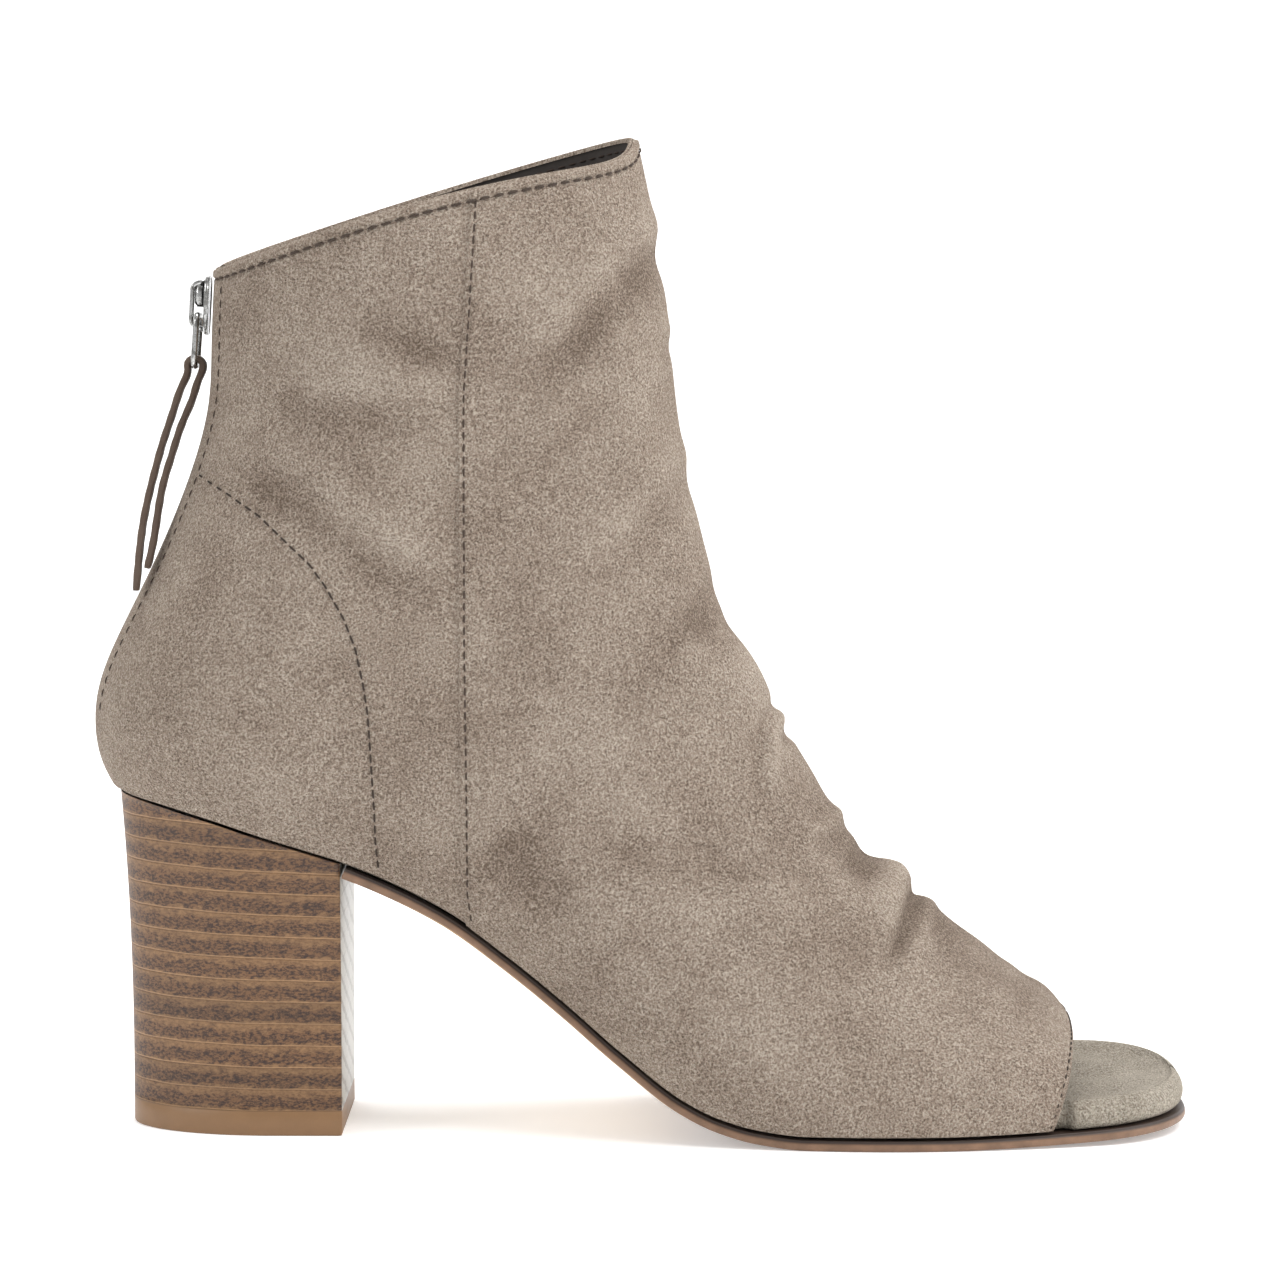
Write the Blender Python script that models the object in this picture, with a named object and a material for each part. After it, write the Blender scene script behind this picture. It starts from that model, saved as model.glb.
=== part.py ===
"""Peep toe ankle boot: a right shoe with a slouchy suede upper, a stacked block heel and a back zip.

X runs from heel to toe, -Y is the outer side of the foot, +Z is up. The origin is on the floor,
in the middle of the heel's top piece. All sizes are in metres.
"""
import functools
import math

import bmesh
import bpy
import numpy as np
from mathutils import Vector

# Driving sizes of the last
LENGTH = 0.2405
BALL_WIDTH = 0.0805
HEEL_HEIGHT = 0.0713
INSTEP_HEIGHT = 0.0850
SHAFT_HEIGHT = 0.1160
SHAFT_WIDTH = 0.0660
TOE_SPRING = 0.0022

# Walls and clearances
WALL = 0.0018
GAP = 0.0003
SEAM_STEP = 0.0006
SEAM_RAMP = 0.0004
SEAM_X = 0.0510
COLLAR_OUTER_DIP = 0.0060
COLLAR_INNER_RISE = 0.0012
COLLAR_CROWN = 0.0014
COLLAR_TURN = 2.2

# Sole, footbed and heel
OUTSOLE_THICK = 0.0024
OUTSOLE_LIP = 0.0004
OUTSOLE_CHAMFER = 0.0006
FOOTBED_THICK = 0.0036
FOOTBED_RIM_LATERAL = 0.0060
FOOTBED_RIM_MEDIAL = 0.0078
FOOTBED_DISH = 0.0016
FOOTBED_ROUND = 0.0024
FOOTBED_TUCK = 0.0030
FOOTBED_STEP = 0.0012
HEEL_LENGTH = 0.0475
HEEL_TIP_WIDTH = 0.0440
HEEL_SEAT_INSET = 0.0009
HEEL_STRAIGHT = 0.0150
HEEL_FLARE = 2.4
HEEL_LEVELS = 5
TOP_PIECE_THICK = 0.0056

# Zip and its pull
ZIP_SLIT = 0.0056
ZIP_CHAIN_WIDTH = 0.0044
ZIP_TAPE_WIDTH = 0.0150
ZIP_TAPE_THICK = 0.0008
ZIP_TAPE_GAP = 0.0006
ZIP_TAPE_SHARES = (1.00, 0.62, 0.34)
ZIP_END_ROW = 0.06
SLIDER_LENGTH = 0.0130
SLIDER_WIDTH = 0.0084
SLIDER_PLATE = 0.0011
SLIDER_CLEAR = 0.0004
SLIDER_DROP = 0.0085
BRIDGE_LENGTH = 0.0118
BRIDGE_RISE = 0.0034
BRIDGE_WIDTH = 0.0026
BRIDGE_BAR = 0.0011
BRIDGE_SLOPE = 0.0016
BRIDGE_SUNK = 0.0003
RING_WIRE = 0.0014
RING_LENGTH = 0.0112
RING_WIDTH = 0.0098
RING_CORNER = 0.0010
RING_LEAN = math.radians(4.0)
LOOP_WIDTH = 0.0050
LOOP_THICK = 0.0015

# Underside of the outsole: x as a share of LENGTH, height as a share of HEEL_HEIGHT
SOLE_LINE = (
    # x, lift
    (-0.1127, 1.000),
    (-0.0690, 0.970),
    (-0.0210, 0.928),
    (0.0260, 0.878),
    (0.0670, 0.836),
    (0.0950, 0.806),
    (0.1370, 0.748),
    (0.1900, 0.655),
    (0.2460, 0.519),
    (0.2960, 0.384),
    (0.3470, 0.238),
    (0.4030, 0.098),
    (0.4390, 0.043),
    (0.4740, 0.014),
    (0.5160, 0.000),
    (0.6400, 0.000),
)

# Half widths of the last's bottom before its ends are rounded: shares of LENGTH and BALL_WIDTH
PLAN = (
    # x, lateral, medial
    (-0.113, 0.311, 0.311),
    (0.000, 0.323, 0.323),
    (0.092, 0.329, 0.329),
    (0.187, 0.323, 0.311),
    (0.270, 0.339, 0.323),
    (0.353, 0.385, 0.363),
    (0.437, 0.447, 0.412),
    (0.520, 0.494, 0.460),
    (0.603, 0.509, 0.491),
    (0.665, 0.494, 0.504),
    (0.728, 0.460, 0.501),
    (0.790, 0.416, 0.482),
    (0.870, 0.360, 0.435),
)
HEEL_END = -0.1127
HEEL_ROUND_FROM = 0.025
TOE_ROUND_FROM = 0.765
TOE_END = 0.869
TOE_SQUARENESS = 2.6

# Rings of the shaft, from the collar down to the heel seat. The back point's x is a share of
# LENGTH and its rise a share of SHAFT_HEIGHT over the seat. The front point rises by shares of
# INSTEP_HEIGHT and SHAFT_HEIGHT over the sole. The half width is a share of SHAFT_WIDTH. The ring
# is round behind and before the two last shares of its length.
RINGS = (
    # back_x, back_rise, front_x, front_foot, front_shaft, half, round_back, round_front
    (-0.0195, 0.991, 0.3650, 1.000, 0.992, 0.500, 0.500, 0.500),
    (-0.0229, 0.845, 0.3892, 1.000, 0.774, 0.505, 0.490, 0.490),
    (-0.0270, 0.720, 0.4008, 1.000, 0.556, 0.512, 0.470, 0.480),
    (-0.0478, 0.573, 0.4170, 1.000, 0.387, 0.518, 0.430, 0.480),
    (-0.0811, 0.414, 0.4407, 1.000, 0.226, 0.523, 0.370, 0.480),
    (-0.1139, 0.276, 0.4719, 1.000, 0.103, 0.527, 0.310, 0.480),
    (-0.1306, 0.168, 0.4969, 1.018, 0.000, 0.525, 0.260, 0.470),
    (-0.1281, 0.069, 0.5239, 0.895, 0.000, 0.520, 0.225, 0.460),
)

# Arches of the foot, from the heel seat to the toe opening. The foot point lies on the feather
# line at a share of LENGTH. The wall swells past the feather line by a share of BALL_WIDTH.
ARCHES = (
    # foot_x, front_x, front_foot, swell, round_front, power, ridge
    (-0.1127, 0.5468, 0.804, 0.115, 0.450, 2.00, 0.000),
    (-0.0665, 0.5655, 0.727, 0.112, 0.430, 2.00, 0.004),
    (0.0083, 0.5863, 0.669, 0.106, 0.390, 2.00, 0.010),
    (0.0956, 0.6091, 0.622, 0.108, 0.340, 2.00, 0.016),
    (0.1996, 0.6299, 0.568, 0.128, 0.270, 2.00, 0.022),
    (0.3077, 0.6549, 0.507, 0.126, 0.190, 2.02, 0.028),
    (0.4075, 0.6778, 0.450, 0.095, 0.110, 2.06, 0.034),
    (0.5073, 0.7006, 0.396, 0.056, 0.050, 2.12, 0.040),
    (0.6071, 0.7235, 0.345, 0.037, 0.010, 2.20, 0.046),
    (0.6819, 0.7464, 0.294, 0.029, 0.000, 2.35, 0.050),
    (0.7376, 0.7659, 0.222, 0.022, 0.000, 2.60, 0.052),
)
FLARE_HEIGHT = 0.0140
SEAT_ROW = len(RINGS)
LAST_ROW = SEAT_ROW + len(ARCHES) - 1
ZIP_LAST_ROW = 6.0
ZIP_CLOSED_ROW = 6.5

# Rows and columns of the upper's mesh
RING_ROWS = tuple(0.5 * k for k in range(17))
ARCH_ROWS = (8.05, 8.2, 8.45, 8.8, 9.2, 9.7, 10.2, 10.7, 11.1, 11.5, 11.9, 12.3, 12.7, 13.1, 13.5,
             13.9, 14.4, 15.0, 15.6, 16.2, 16.8, 17.4, 18.0)
COLUMNS = 40


def spline(knots, values, at):
    """Natural cubic through the knots."""
    knots = np.asarray(knots, float)
    values = np.asarray(values, float)
    step = np.diff(knots)
    slope = np.diff(values) / step
    count = len(knots)
    system = np.eye(count)
    right = np.zeros(count)
    for i in range(1, count - 1):
        system[i, i - 1] = step[i - 1]
        system[i, i] = 2.0 * (step[i - 1] + step[i])
        system[i, i + 1] = step[i]
        right[i] = 6.0 * (slope[i] - slope[i - 1])
    bend = np.linalg.solve(system, right)
    i = int(np.clip(np.searchsorted(knots, at) - 1, 0, count - 2))
    a = (knots[i + 1] - at) / step[i]
    b = (at - knots[i]) / step[i]
    curve = ((a ** 3 - a) * bend[i] + (b ** 3 - b) * bend[i + 1]) * step[i] ** 2 / 6.0
    return float(a * values[i] + b * values[i + 1] + curve)


def steady(knots, values, at):
    """Cubic through the knots that never overshoots, and is flat between equal values."""
    at = min(max(at, knots[0]), knots[-1])
    step = [b - a for a, b in zip(knots, knots[1:])]
    slope = [(b - a) / h for a, b, h in zip(values, values[1:], step)]
    tangent = [slope[0]]
    for left, right in zip(slope, slope[1:]):
        tangent.append(0.0 if left * right <= 0 else 2.0 * left * right / (left + right))
    tangent.append(slope[-1])
    i = int(np.clip(np.searchsorted(knots, at) - 1, 0, len(step) - 1))
    t = (at - knots[i]) / step[i]
    rest = 1.0 - t
    return (values[i] * (1 + 2 * t) * rest ** 2 + values[i + 1] * t ** 2 * (3 - 2 * t)
            + step[i] * (tangent[i] * t * rest ** 2 - tangent[i + 1] * t ** 2 * rest))


def column(table, index):
    return [row[index] for row in table]


def sole_z(x):
    """Underside of the outsole: flat at the ball, up to the heel, with a little toe spring."""
    share = x / LENGTH
    lift = steady(column(SOLE_LINE, 0), column(SOLE_LINE, 1), share) * HEEL_HEIGHT
    toe = max(0.0, (share - SOLE_LINE[-1][0]) / (TOE_END - SOLE_LINE[-1][0]))
    return lift + TOE_SPRING * toe ** 1.5


def sole_up(x):
    """Direction square to the sole line, in the side view."""
    reach = 0.001
    rise = (sole_z(x + reach) - sole_z(x - reach)) / (2 * reach)
    return Vector((-rise, 0.0, 1.0)).normalized()


def feather_z(x):
    """Lower edge of the upper, just above the outsole and the heel."""
    return sole_z(x) + (OUTSOLE_THICK + GAP) / sole_up(x).z


def bottom_width(x, side):
    """Half width of the last's bottom before its ends are rounded."""
    return spline(column(PLAN, 0), column(PLAN, 1 if side < 0 else 2), x / LENGTH) * BALL_WIDTH


def end_round(x):
    """How much of the half width is left where the heel and the toe close round."""
    share = x / LENGTH
    if share < HEEL_ROUND_FROM:
        near = (HEEL_ROUND_FROM - share) / (HEEL_ROUND_FROM - HEEL_END)
        return math.sqrt(max(0.0, 1.0 - near ** 2))
    if share > TOE_ROUND_FROM:
        near = (share - TOE_ROUND_FROM) / (TOE_END - TOE_ROUND_FROM)
        return max(0.0, 1.0 - near ** TOE_SQUARENESS) ** (1.0 / TOE_SQUARENESS)
    return 1.0


def edge(x, side):
    """Half width of the last's bottom at x, on the lateral (-1) or medial (+1) side."""
    return bottom_width(x, side) * end_round(x)


def plan_point(x, side, inset):
    """A point of the bottom's outline, moved inwards square to it."""
    reach = 0.0002
    ahead = edge(min(x + reach, TOE_END * LENGTH), side)
    behind = edge(max(x - reach, HEEL_END * LENGTH), side)
    run = min(x + reach, TOE_END * LENGTH) - max(x - reach, HEEL_END * LENGTH)
    along = Vector((run, ahead - behind)).normalized()
    return x + along.y * inset, side * (edge(x, side) - along.x * inset)


def ring_values(row, side):
    back_x, rise, front_x, foot, shaft, half, round_back, round_front = row
    x = front_x * LENGTH
    return (back_x * LENGTH, feather_z(HEEL_END * LENGTH) + rise * SHAFT_HEIGHT, x,
            feather_z(x) + foot * INSTEP_HEIGHT + shaft * SHAFT_HEIGHT,
            half * SHAFT_WIDTH, round_back, round_front, 2.0, 0.0)


def arch_values(row, side):
    foot_x, front_x, foot, swell, round_front, power, ridge = row
    x = front_x * LENGTH
    back = foot_x * LENGTH
    round_back = (HEEL_ROUND_FROM - HEEL_END) / (ARCHES[0][1] - HEEL_END)
    return (back, feather_z(back), x, feather_z(x) + foot * INSTEP_HEIGHT,
            bottom_width(back, side) + swell * BALL_WIDTH, round_back, round_front, power,
            ridge * BALL_WIDTH)


ROWS = {side: [ring_values(row, side) for row in RINGS] + [arch_values(row, side) for row in ARCHES]
        for side in (-1, 1)}


@functools.lru_cache(maxsize=None)
def section(row, side):
    """Ends, half width, rounding, power and ridge of one section of the upper."""
    table = ROWS[side]
    knots = list(range(len(table)))
    values = [spline(knots, column(table, k), row) for k in range(9)]
    if row <= SEAT_ROW:
        for k in (0, 1, 5):
            values[k] = spline(knots[:SEAT_ROW + 1], column(table[:SEAT_ROW + 1], k), row)
    else:
        values[0] = steady(knots[SEAT_ROW:], column(table[SEAT_ROW:], 0), row)
        values[1] = feather_z(values[0])
    values[6] = max(values[6], 0.0)
    return tuple(values)


def along_share(row, place, back_x):
    """Share of a section's length at a place from 0 at its back end to 1 at its front."""
    both_ends = 0.5 - 0.5 * math.cos(math.pi * place)
    if row <= SEAT_ROW:
        return both_ends
    front_end = math.sin(math.pi / 2 * place)
    open_foot = end_round(back_x) ** 2
    return both_ends + (front_end - both_ends) * open_foot


def skin(row, place, side):
    """A point of the upper's outer face: place is 0 at the back or the feather line, 1 in front."""
    back_x, back_z, front_x, front_z, half, round_back, round_front, power, ridge = section(row, side)
    share = along_share(row, place, back_x)
    x = back_x + (front_x - back_x) * share
    z = back_z + (front_z - back_z) * share
    height = max(0.0, z - feather_z(x))
    foot = bottom_width(x, side)
    body = foot + (half - foot) * (1.0 - math.exp(-height / FLARE_HEIGHT))
    if row > SEAT_ROW:
        body *= end_round(min(x, TOE_ROUND_FROM * LENGTH))
    elif share < round_back:
        body *= math.sqrt(max(0.0, 1.0 - (1.0 - share / round_back) ** 2))
    near = max(0.0, (share - round_front) / (1.0 - round_front))
    body *= max(0.0, 1.0 - near ** power) ** (1.0 / power)
    if row < 1.0:
        z += collar_lift(share, side, body / half) * (1.0 - row) ** 2
    return Vector((x, side * body + ridge * near ** 2, z))


def collar_lift(share, side, across):
    """How far the collar's edge stands off its plane: it dips on the outer side in front."""
    lean = side * (0.25 * COLLAR_OUTER_DIP + 0.75 * COLLAR_OUTER_DIP * share ** 3 if side < 0
                   else COLLAR_INNER_RISE)
    return lean * math.tanh(COLLAR_TURN * across) + 4.0 * COLLAR_CROWN * share * (1.0 - share)


def back_place(row, reach, side):
    """Place on a ring at a given distance from the back's middle line."""
    values = section(row, side)
    share = values[5] * (1.0 - math.sqrt(1.0 - (reach / values[4]) ** 2))
    return math.acos(1.0 - 2.0 * share) / math.pi


def column_place(row, share):
    """Place and side of a column: share runs from -1, lateral, over the front to +1, medial."""
    side = -1 if share < 0 else 1
    start = back_place(row, ZIP_SLIT / 2, side) if row <= ZIP_LAST_ROW else 0.0
    return 1.0 - abs(share) * (1.0 - start), side


def skin_out(row, place, side):
    """Direction square to the upper's outer face."""
    step = 0.001
    below = row if row in (SEAT_ROW, LAST_ROW) else row + step
    above = row if row == 0 else row - step
    down = skin(below, place, side) - skin(above, place, side)
    ahead = min(place + step, 1.0)
    lean = skin(row, ahead, side) - skin(row, ahead - step, side)
    out = down.cross(lean) if side < 0 else lean.cross(down)
    if place == 0.0 and row <= SEAT_ROW:
        out.y = 0.0
    return out.normalized()


def material(name, colour, roughness, metallic=0.0):
    made = bpy.data.materials.new(name)
    made.use_nodes = True
    shader = made.node_tree.nodes["Principled BSDF"]
    shader.inputs["Base Color"].default_value = (*colour, 1.0)
    shader.inputs["Roughness"].default_value = roughness
    shader.inputs["Metallic"].default_value = metallic
    return made


def finish_mesh(name, shape, made, smooth_under=math.radians(35)):
    """Turns a bmesh into a named object with its material and smooth round faces."""
    bmesh.ops.recalc_face_normals(shape, faces=shape.faces)
    mesh = bpy.data.meshes.new(name)
    shape.to_mesh(mesh)
    shape.free()
    mesh.materials.append(made)
    mesh.shade_smooth()
    mesh.set_sharp_from_angle(angle=smooth_under)
    obj = bpy.data.objects.new(name, mesh)
    bpy.context.scene.collection.objects.link(obj)
    return obj


def skin_sheet():
    """The upper's outer face as an open sheet, joined down the back below the zip."""
    shape = bmesh.new()
    out = shape.verts.layers.float_vector.new("out")
    rows = []
    for row in RING_ROWS + ARCH_ROWS:
        points = []
        for j in range(COLUMNS + 1):
            place, side = column_place(row, 2.0 * j / COLUMNS - 1.0)
            vert = shape.verts.new(skin(row, place, side))
            vert[out] = skin_out(row, place, side)
            points.append(vert)
        rows.append(points)
    for above, below in zip(rows, rows[1:]):
        for j in range(COLUMNS):
            shape.faces.new((above[j], below[j], below[j + 1], above[j + 1]))
    backs = [points[end] for points, row in zip(rows, RING_ROWS) if row >= ZIP_CLOSED_ROW
             for end in (0, COLUMNS)]
    bmesh.ops.remove_doubles(shape, verts=backs, dist=0.00001)
    return shape


def make_upper(made):
    """One hollow wall: the front panel laps the back one with a step at each side seam."""
    shape = skin_sheet()
    for x in (SEAM_X, SEAM_X + SEAM_RAMP):
        bmesh.ops.bisect_plane(shape, geom=shape.verts[:] + shape.edges[:] + shape.faces[:],
                               dist=0.00008, plane_co=(x, 0, 0), plane_no=(1, 0, 0))
    shape.normal_update()
    out = shape.verts.layers.float_vector["out"]
    for vert in shape.verts:
        if abs(vert.co.x - SEAM_X) < 2 * SEAM_RAMP or vert[out].length < 0.5:
            vert[out] = vert.normal
    sheet_faces = shape.faces[:]
    rim = [line for line in shape.edges if line.is_boundary]
    low_rim = {vert for line in rim for vert in line.verts if vert.co.z < INSTEP_HEIGHT}
    sheet = shape.verts[:]
    inner = {}
    for vert in sheet:
        inner[vert] = shape.verts.new(vert.co - vert[out] * WALL)
    for face in sheet_faces:
        shape.faces.new([inner[vert] for vert in reversed(face.verts)])
    for line in rim:
        a, b = line.verts
        shape.faces.new((a, b, inner[b], inner[a]))
    for vert in sheet:
        if vert.co.x > SEAM_X + 0.9 * SEAM_RAMP and vert not in low_rim:
            vert.co += vert[out] * SEAM_STEP
    return finish_mesh("upper", shape, made)


def toe_places(start):
    """Places from start to the tip of the toe, closer together as the outline turns across."""
    reach = TOE_END * LENGTH - start
    steps = 13
    shares = [k / steps for k in range(1, steps)] + [0.985]
    return [start + reach * math.sin(math.pi / 2 * t) ** (2.0 / TOE_SQUARENESS) for t in shares]


def loft(name, rings, made):
    """Closes a row of equal rings of points into one solid."""
    shape = bmesh.new()
    made_rings = [[shape.verts.new(point) for point in ring] for ring in rings]
    count = len(rings[0])
    for left, right in zip(made_rings, made_rings[1:]):
        for j in range(count):
            k = (j + 1) % count
            shape.faces.new((left[j], left[k], right[k], right[j]))
    shape.faces.new(made_rings[0])
    shape.faces.new(list(reversed(made_rings[-1])))
    return finish_mesh(name, shape, made)


def heel_breast():
    return HEEL_LENGTH / 2


def feather_places(low, high):
    """Where the rows of the upper's mesh meet the feather line, between two places."""
    places = [section(row, -1)[0] for row in ARCH_ROWS]
    return [x for x in places if low + 0.0015 < x < high - 0.0015]


def make_outsole(made):
    """Thin sole from the heel's breast to the toe, with its lower edges broken."""
    start = heel_breast() + GAP
    rings = []
    places = [start] + feather_places(start, TOE_END * LENGTH)
    for x in places + toe_places(places[-1]):
        up = sole_up(x)
        low = Vector((x, 0, sole_z(x)))
        ring = []
        for side, heights in ((-1, (0, 1, 2)), (1, (2, 1, 0))):
            for level in heights:
                inset = (OUTSOLE_CHAMFER, 0.0, 0.0)[level] - OUTSOLE_LIP
                rise = (0.0, OUTSOLE_CHAMFER, OUTSOLE_THICK)[level]
                px, py = plan_point(x, side, inset)
                px = max(px, start)
                ring.append(Vector((px, py, low.z)) + up * rise)
        rings.append(ring)
    return loft("outsole", rings, made)


def footbed_rim(x, y):
    """Thickness of the footbed's rim: thin inside the boot, padded where the toe shows."""
    middle = (FOOTBED_RIM_LATERAL + FOOTBED_RIM_MEDIAL) / 2
    toe = middle + (FOOTBED_RIM_MEDIAL - FOOTBED_RIM_LATERAL) * y / BALL_WIDTH
    start, end = ARCHES[-4][0] * LENGTH, ARCHES[-1][0] * LENGTH
    t = min(max((x - start) / (end - start), 0.0), 1.0)
    return FOOTBED_THICK + (toe - FOOTBED_THICK) * t * t * (3 - 2 * t)


def make_footbed(made):
    """Wrapped footbed: inside the upper as far as the toe opening, then out to the full outline."""
    inside = WALL + 2 * GAP
    mouth = ARCHES[-1][1] * LENGTH - FOOTBED_TUCK
    start = HEEL_END * LENGTH + 0.0001
    places = [start] + feather_places(start, mouth) + [mouth]
    places += [mouth + FOOTBED_STEP] + toe_places(mouth + FOOTBED_STEP)
    rings = []
    for x in places:
        inset = inside if x <= mouth else 0.0
        up = sole_up(x)
        base = feather_z(x)
        dish = FOOTBED_DISH * end_round(x)
        ring = []
        for side in (-1, 1):
            rim = footbed_rim(x, side * edge(x, side))
            round_ = min(FOOTBED_ROUND, rim * 0.4)
            points = []
            for inwards, rise in ((0.4 * round_, 0.0), (0.0, 0.4 * rim), (0.25 * round_, 0.8 * rim),
                                  (1.0 * round_, rim)):
                px, py = plan_point(x, side, inset + inwards)
                points.append(Vector((px, py, base)) + up * rise)
            half = points[-1]
            points.append(Vector((half.x, 0.55 * half.y, half.z)) - up * 0.75 * dish)
            ring.append(points)
        floor = Vector((ring[0][-1].x, 0.0, base)) + up * (footbed_rim(x, 0.0) - dish)
        rings.append(ring[0] + [floor] + list(reversed(ring[1])))
    return loft("footbed", rings, made)


def heel_outline(level):
    """U shaped plan of the heel: level is 0 at the floor and 1 at the seat."""
    ease = level ** HEEL_FLARE
    breast = heel_breast()
    seat_half = edge(breast, -1) - HEEL_SEAT_INSET
    half = HEEL_TIP_WIDTH / 2 + (seat_half - HEEL_TIP_WIDTH / 2) * ease
    back = -HEEL_LENGTH / 2 + (HEEL_END * LENGTH + HEEL_SEAT_INSET + HEEL_LENGTH / 2) * ease
    straight_to = breast - HEEL_STRAIGHT
    points = [(breast, -half)]
    steps = 20
    for k in range(steps + 1):
        turn = math.pi * k / steps
        points.append((straight_to - (straight_to - back) * math.sin(turn), -half * math.cos(turn)))
    points.append((breast, half))
    return points


def heel_ring(level, height):
    """The heel's outline at one level, each point at the height that height(x) gives."""
    return [(x, y, height(x)) for x, y in heel_outline(level)]


def make_heel(name, rings, made):
    """Closes rings of the heel's outline into a solid, its ends laid out as strips across it."""
    shape = bmesh.new()
    made_rings = [[shape.verts.new(point) for point in ring] for ring in rings]
    count = len(made_rings[0])
    for lower, upper in zip(made_rings, made_rings[1:]):
        for j in range(count):
            k = (j + 1) % count
            shape.faces.new((lower[j], lower[k], upper[k], upper[j]))
    for ring in (made_rings[0], made_rings[-1]):
        for j in range(count // 2):
            near = [ring[j], ring[j + 1]]
            far = [ring[count - 2 - j], ring[count - 1 - j]]
            shape.faces.new(near + [point for point in far if point is not near[1]])
    return finish_mesh(name, shape, made)


def make_heel_block(made):
    """The stacked heel from over its top piece to under the upper."""
    low = TOP_PIECE_THICK + GAP
    rings = []
    for k in range(HEEL_LEVELS + 1):
        share = k / HEEL_LEVELS
        rings.append(heel_ring(share, lambda x: low + (feather_z(x) - GAP - low) * share))
    return make_heel("heel_block", rings, made)


def make_top_piece(made):
    rings = [heel_ring(0.0, lambda x: 0.0), heel_ring(0.0, lambda x: TOP_PIECE_THICK)]
    return make_heel("heel_top_piece", rings, made)


def back_point(row, lift):
    """A point on the back's middle line and the way out from it, lifted square to the wall."""
    out = skin_out(row, 0.01, -1)
    out.y = 0.0
    out.normalize()
    return skin(row, 0.0, -1) + out * lift, out


def make_zip(made):
    """Tape inside the slit with the closed chain standing up between the edges."""
    tape = -(WALL + ZIP_TAPE_GAP)
    rings = []
    steps = 24
    for k in range(steps + 1):
        row = ZIP_END_ROW + (ZIP_LAST_ROW - 2 * ZIP_END_ROW) * k / steps
        outer = []
        inner = []
        for share in ZIP_TAPE_SHARES:
            place = back_place(row, share * ZIP_TAPE_WIDTH / 2, -1)
            out = skin_out(row, place, -1)
            outer.append(skin(row, place, -1) + out * tape)
            inner.append(skin(row, place, -1) + out * (tape - ZIP_TAPE_THICK))
        top = back_point(row, 0.0)[0]
        foot = Vector((outer[-1].x, -ZIP_CHAIN_WIDTH / 2, outer[-1].z))
        ring = outer + [foot, top - Vector((0, ZIP_CHAIN_WIDTH / 2, 0))]
        mirrored = [Vector((p.x, -p.y, p.z)) for p in reversed(ring)]
        back_mirrored = [Vector((p.x, -p.y, p.z)) for p in inner]
        rings.append(ring + mirrored + back_mirrored + list(reversed(inner)))
    return loft("zip_tape", rings, made)


def slider_frame():
    """Where the slider sits: its middle on the chain's face, the way up and the way out."""
    top = back_point(0.0, 0.0)[0]
    row = 0.0
    while (back_point(row, 0.0)[0] - top).length < SLIDER_DROP:
        row += 0.01
    here, out = back_point(row, GAP)
    up = Vector((-out.z, 0.0, out.x))
    if up.z < 0:
        up.negate()
    return here, up, out


def box_between(shape, frame, length, width, low, high):
    """Adds a box to a bmesh: length up the zip, width across, low to high outwards."""
    here, up, out = frame
    across = Vector((0, 1, 0))
    corners = []
    for a in (-length / 2, length / 2):
        for b in (-width / 2, width / 2):
            for c in (low, high):
                corners.append(shape.verts.new(here + up * a + across * b + out * c))
    for face in ((0, 1, 3, 2), (4, 6, 7, 5), (0, 4, 5, 1), (2, 3, 7, 6), (0, 2, 6, 4), (1, 5, 7, 3)):
        shape.faces.new([corners[k] for k in face])


def bridge_profile():
    """Side view of the slider's bridge as a flat bar bent over the plate: along, out."""
    low = SLIDER_CLEAR + SLIDER_PLATE - BRIDGE_SUNK
    high = low + BRIDGE_RISE + BRIDGE_SUNK
    half = BRIDGE_LENGTH / 2
    slope = BRIDGE_SLOPE
    outer = [(-half, low), (-half + slope * 0.6, high - slope * 0.5), (-half + slope * 1.6, high),
             (half - slope * 1.6, high), (half - slope * 0.6, high - slope * 0.5), (half, low)]
    bar = BRIDGE_BAR
    inner = [(half - bar, low), (half - bar - slope * 0.5, high - bar - slope * 0.4),
             (half - bar - slope * 1.1, high - bar), (-half + bar + slope * 1.1, high - bar),
             (-half + bar + slope * 0.5, high - bar - slope * 0.4), (-half + bar, low)]
    return outer, inner


def make_slider(made):
    """Plate over the chain with a bridge that carries the pull's ring."""
    frame = slider_frame()
    here, up, out = frame
    shape = bmesh.new()
    box_between(shape, frame, SLIDER_LENGTH, SLIDER_WIDTH, SLIDER_CLEAR,
                SLIDER_CLEAR + SLIDER_PLATE)
    plate = finish_mesh("zip_slider", shape, made)
    outer, inner = bridge_profile()
    shape = bmesh.new()
    sides = []
    for y in (-BRIDGE_WIDTH / 2, BRIDGE_WIDTH / 2):
        place = [[shape.verts.new(here + up * a + out * c + Vector((0, y, 0))) for a, c in line]
                 for line in (outer, list(reversed(inner)))]
        sides.append(place)
        for k in range(len(outer) - 1):
            shape.faces.new((place[0][k], place[0][k + 1], place[1][k + 1], place[1][k]))
    for line in (0, 1):
        for k in range(len(outer) - 1):
            shape.faces.new((sides[0][line][k], sides[0][line][k + 1],
                             sides[1][line][k + 1], sides[1][line][k]))
    for k in (0, len(outer) - 1):
        shape.faces.new((sides[0][0][k], sides[0][1][k], sides[1][1][k], sides[1][0][k]))
    bridge = finish_mesh("slider_bridge_form", shape, made)
    bridge.hide_render = True
    bridge.display_type = "WIRE"
    bridge.hide_set(True)
    join = plate.modifiers.new("bridge", "BOOLEAN")
    join.operation = "UNION"
    join.object = bridge
    return plate


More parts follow.
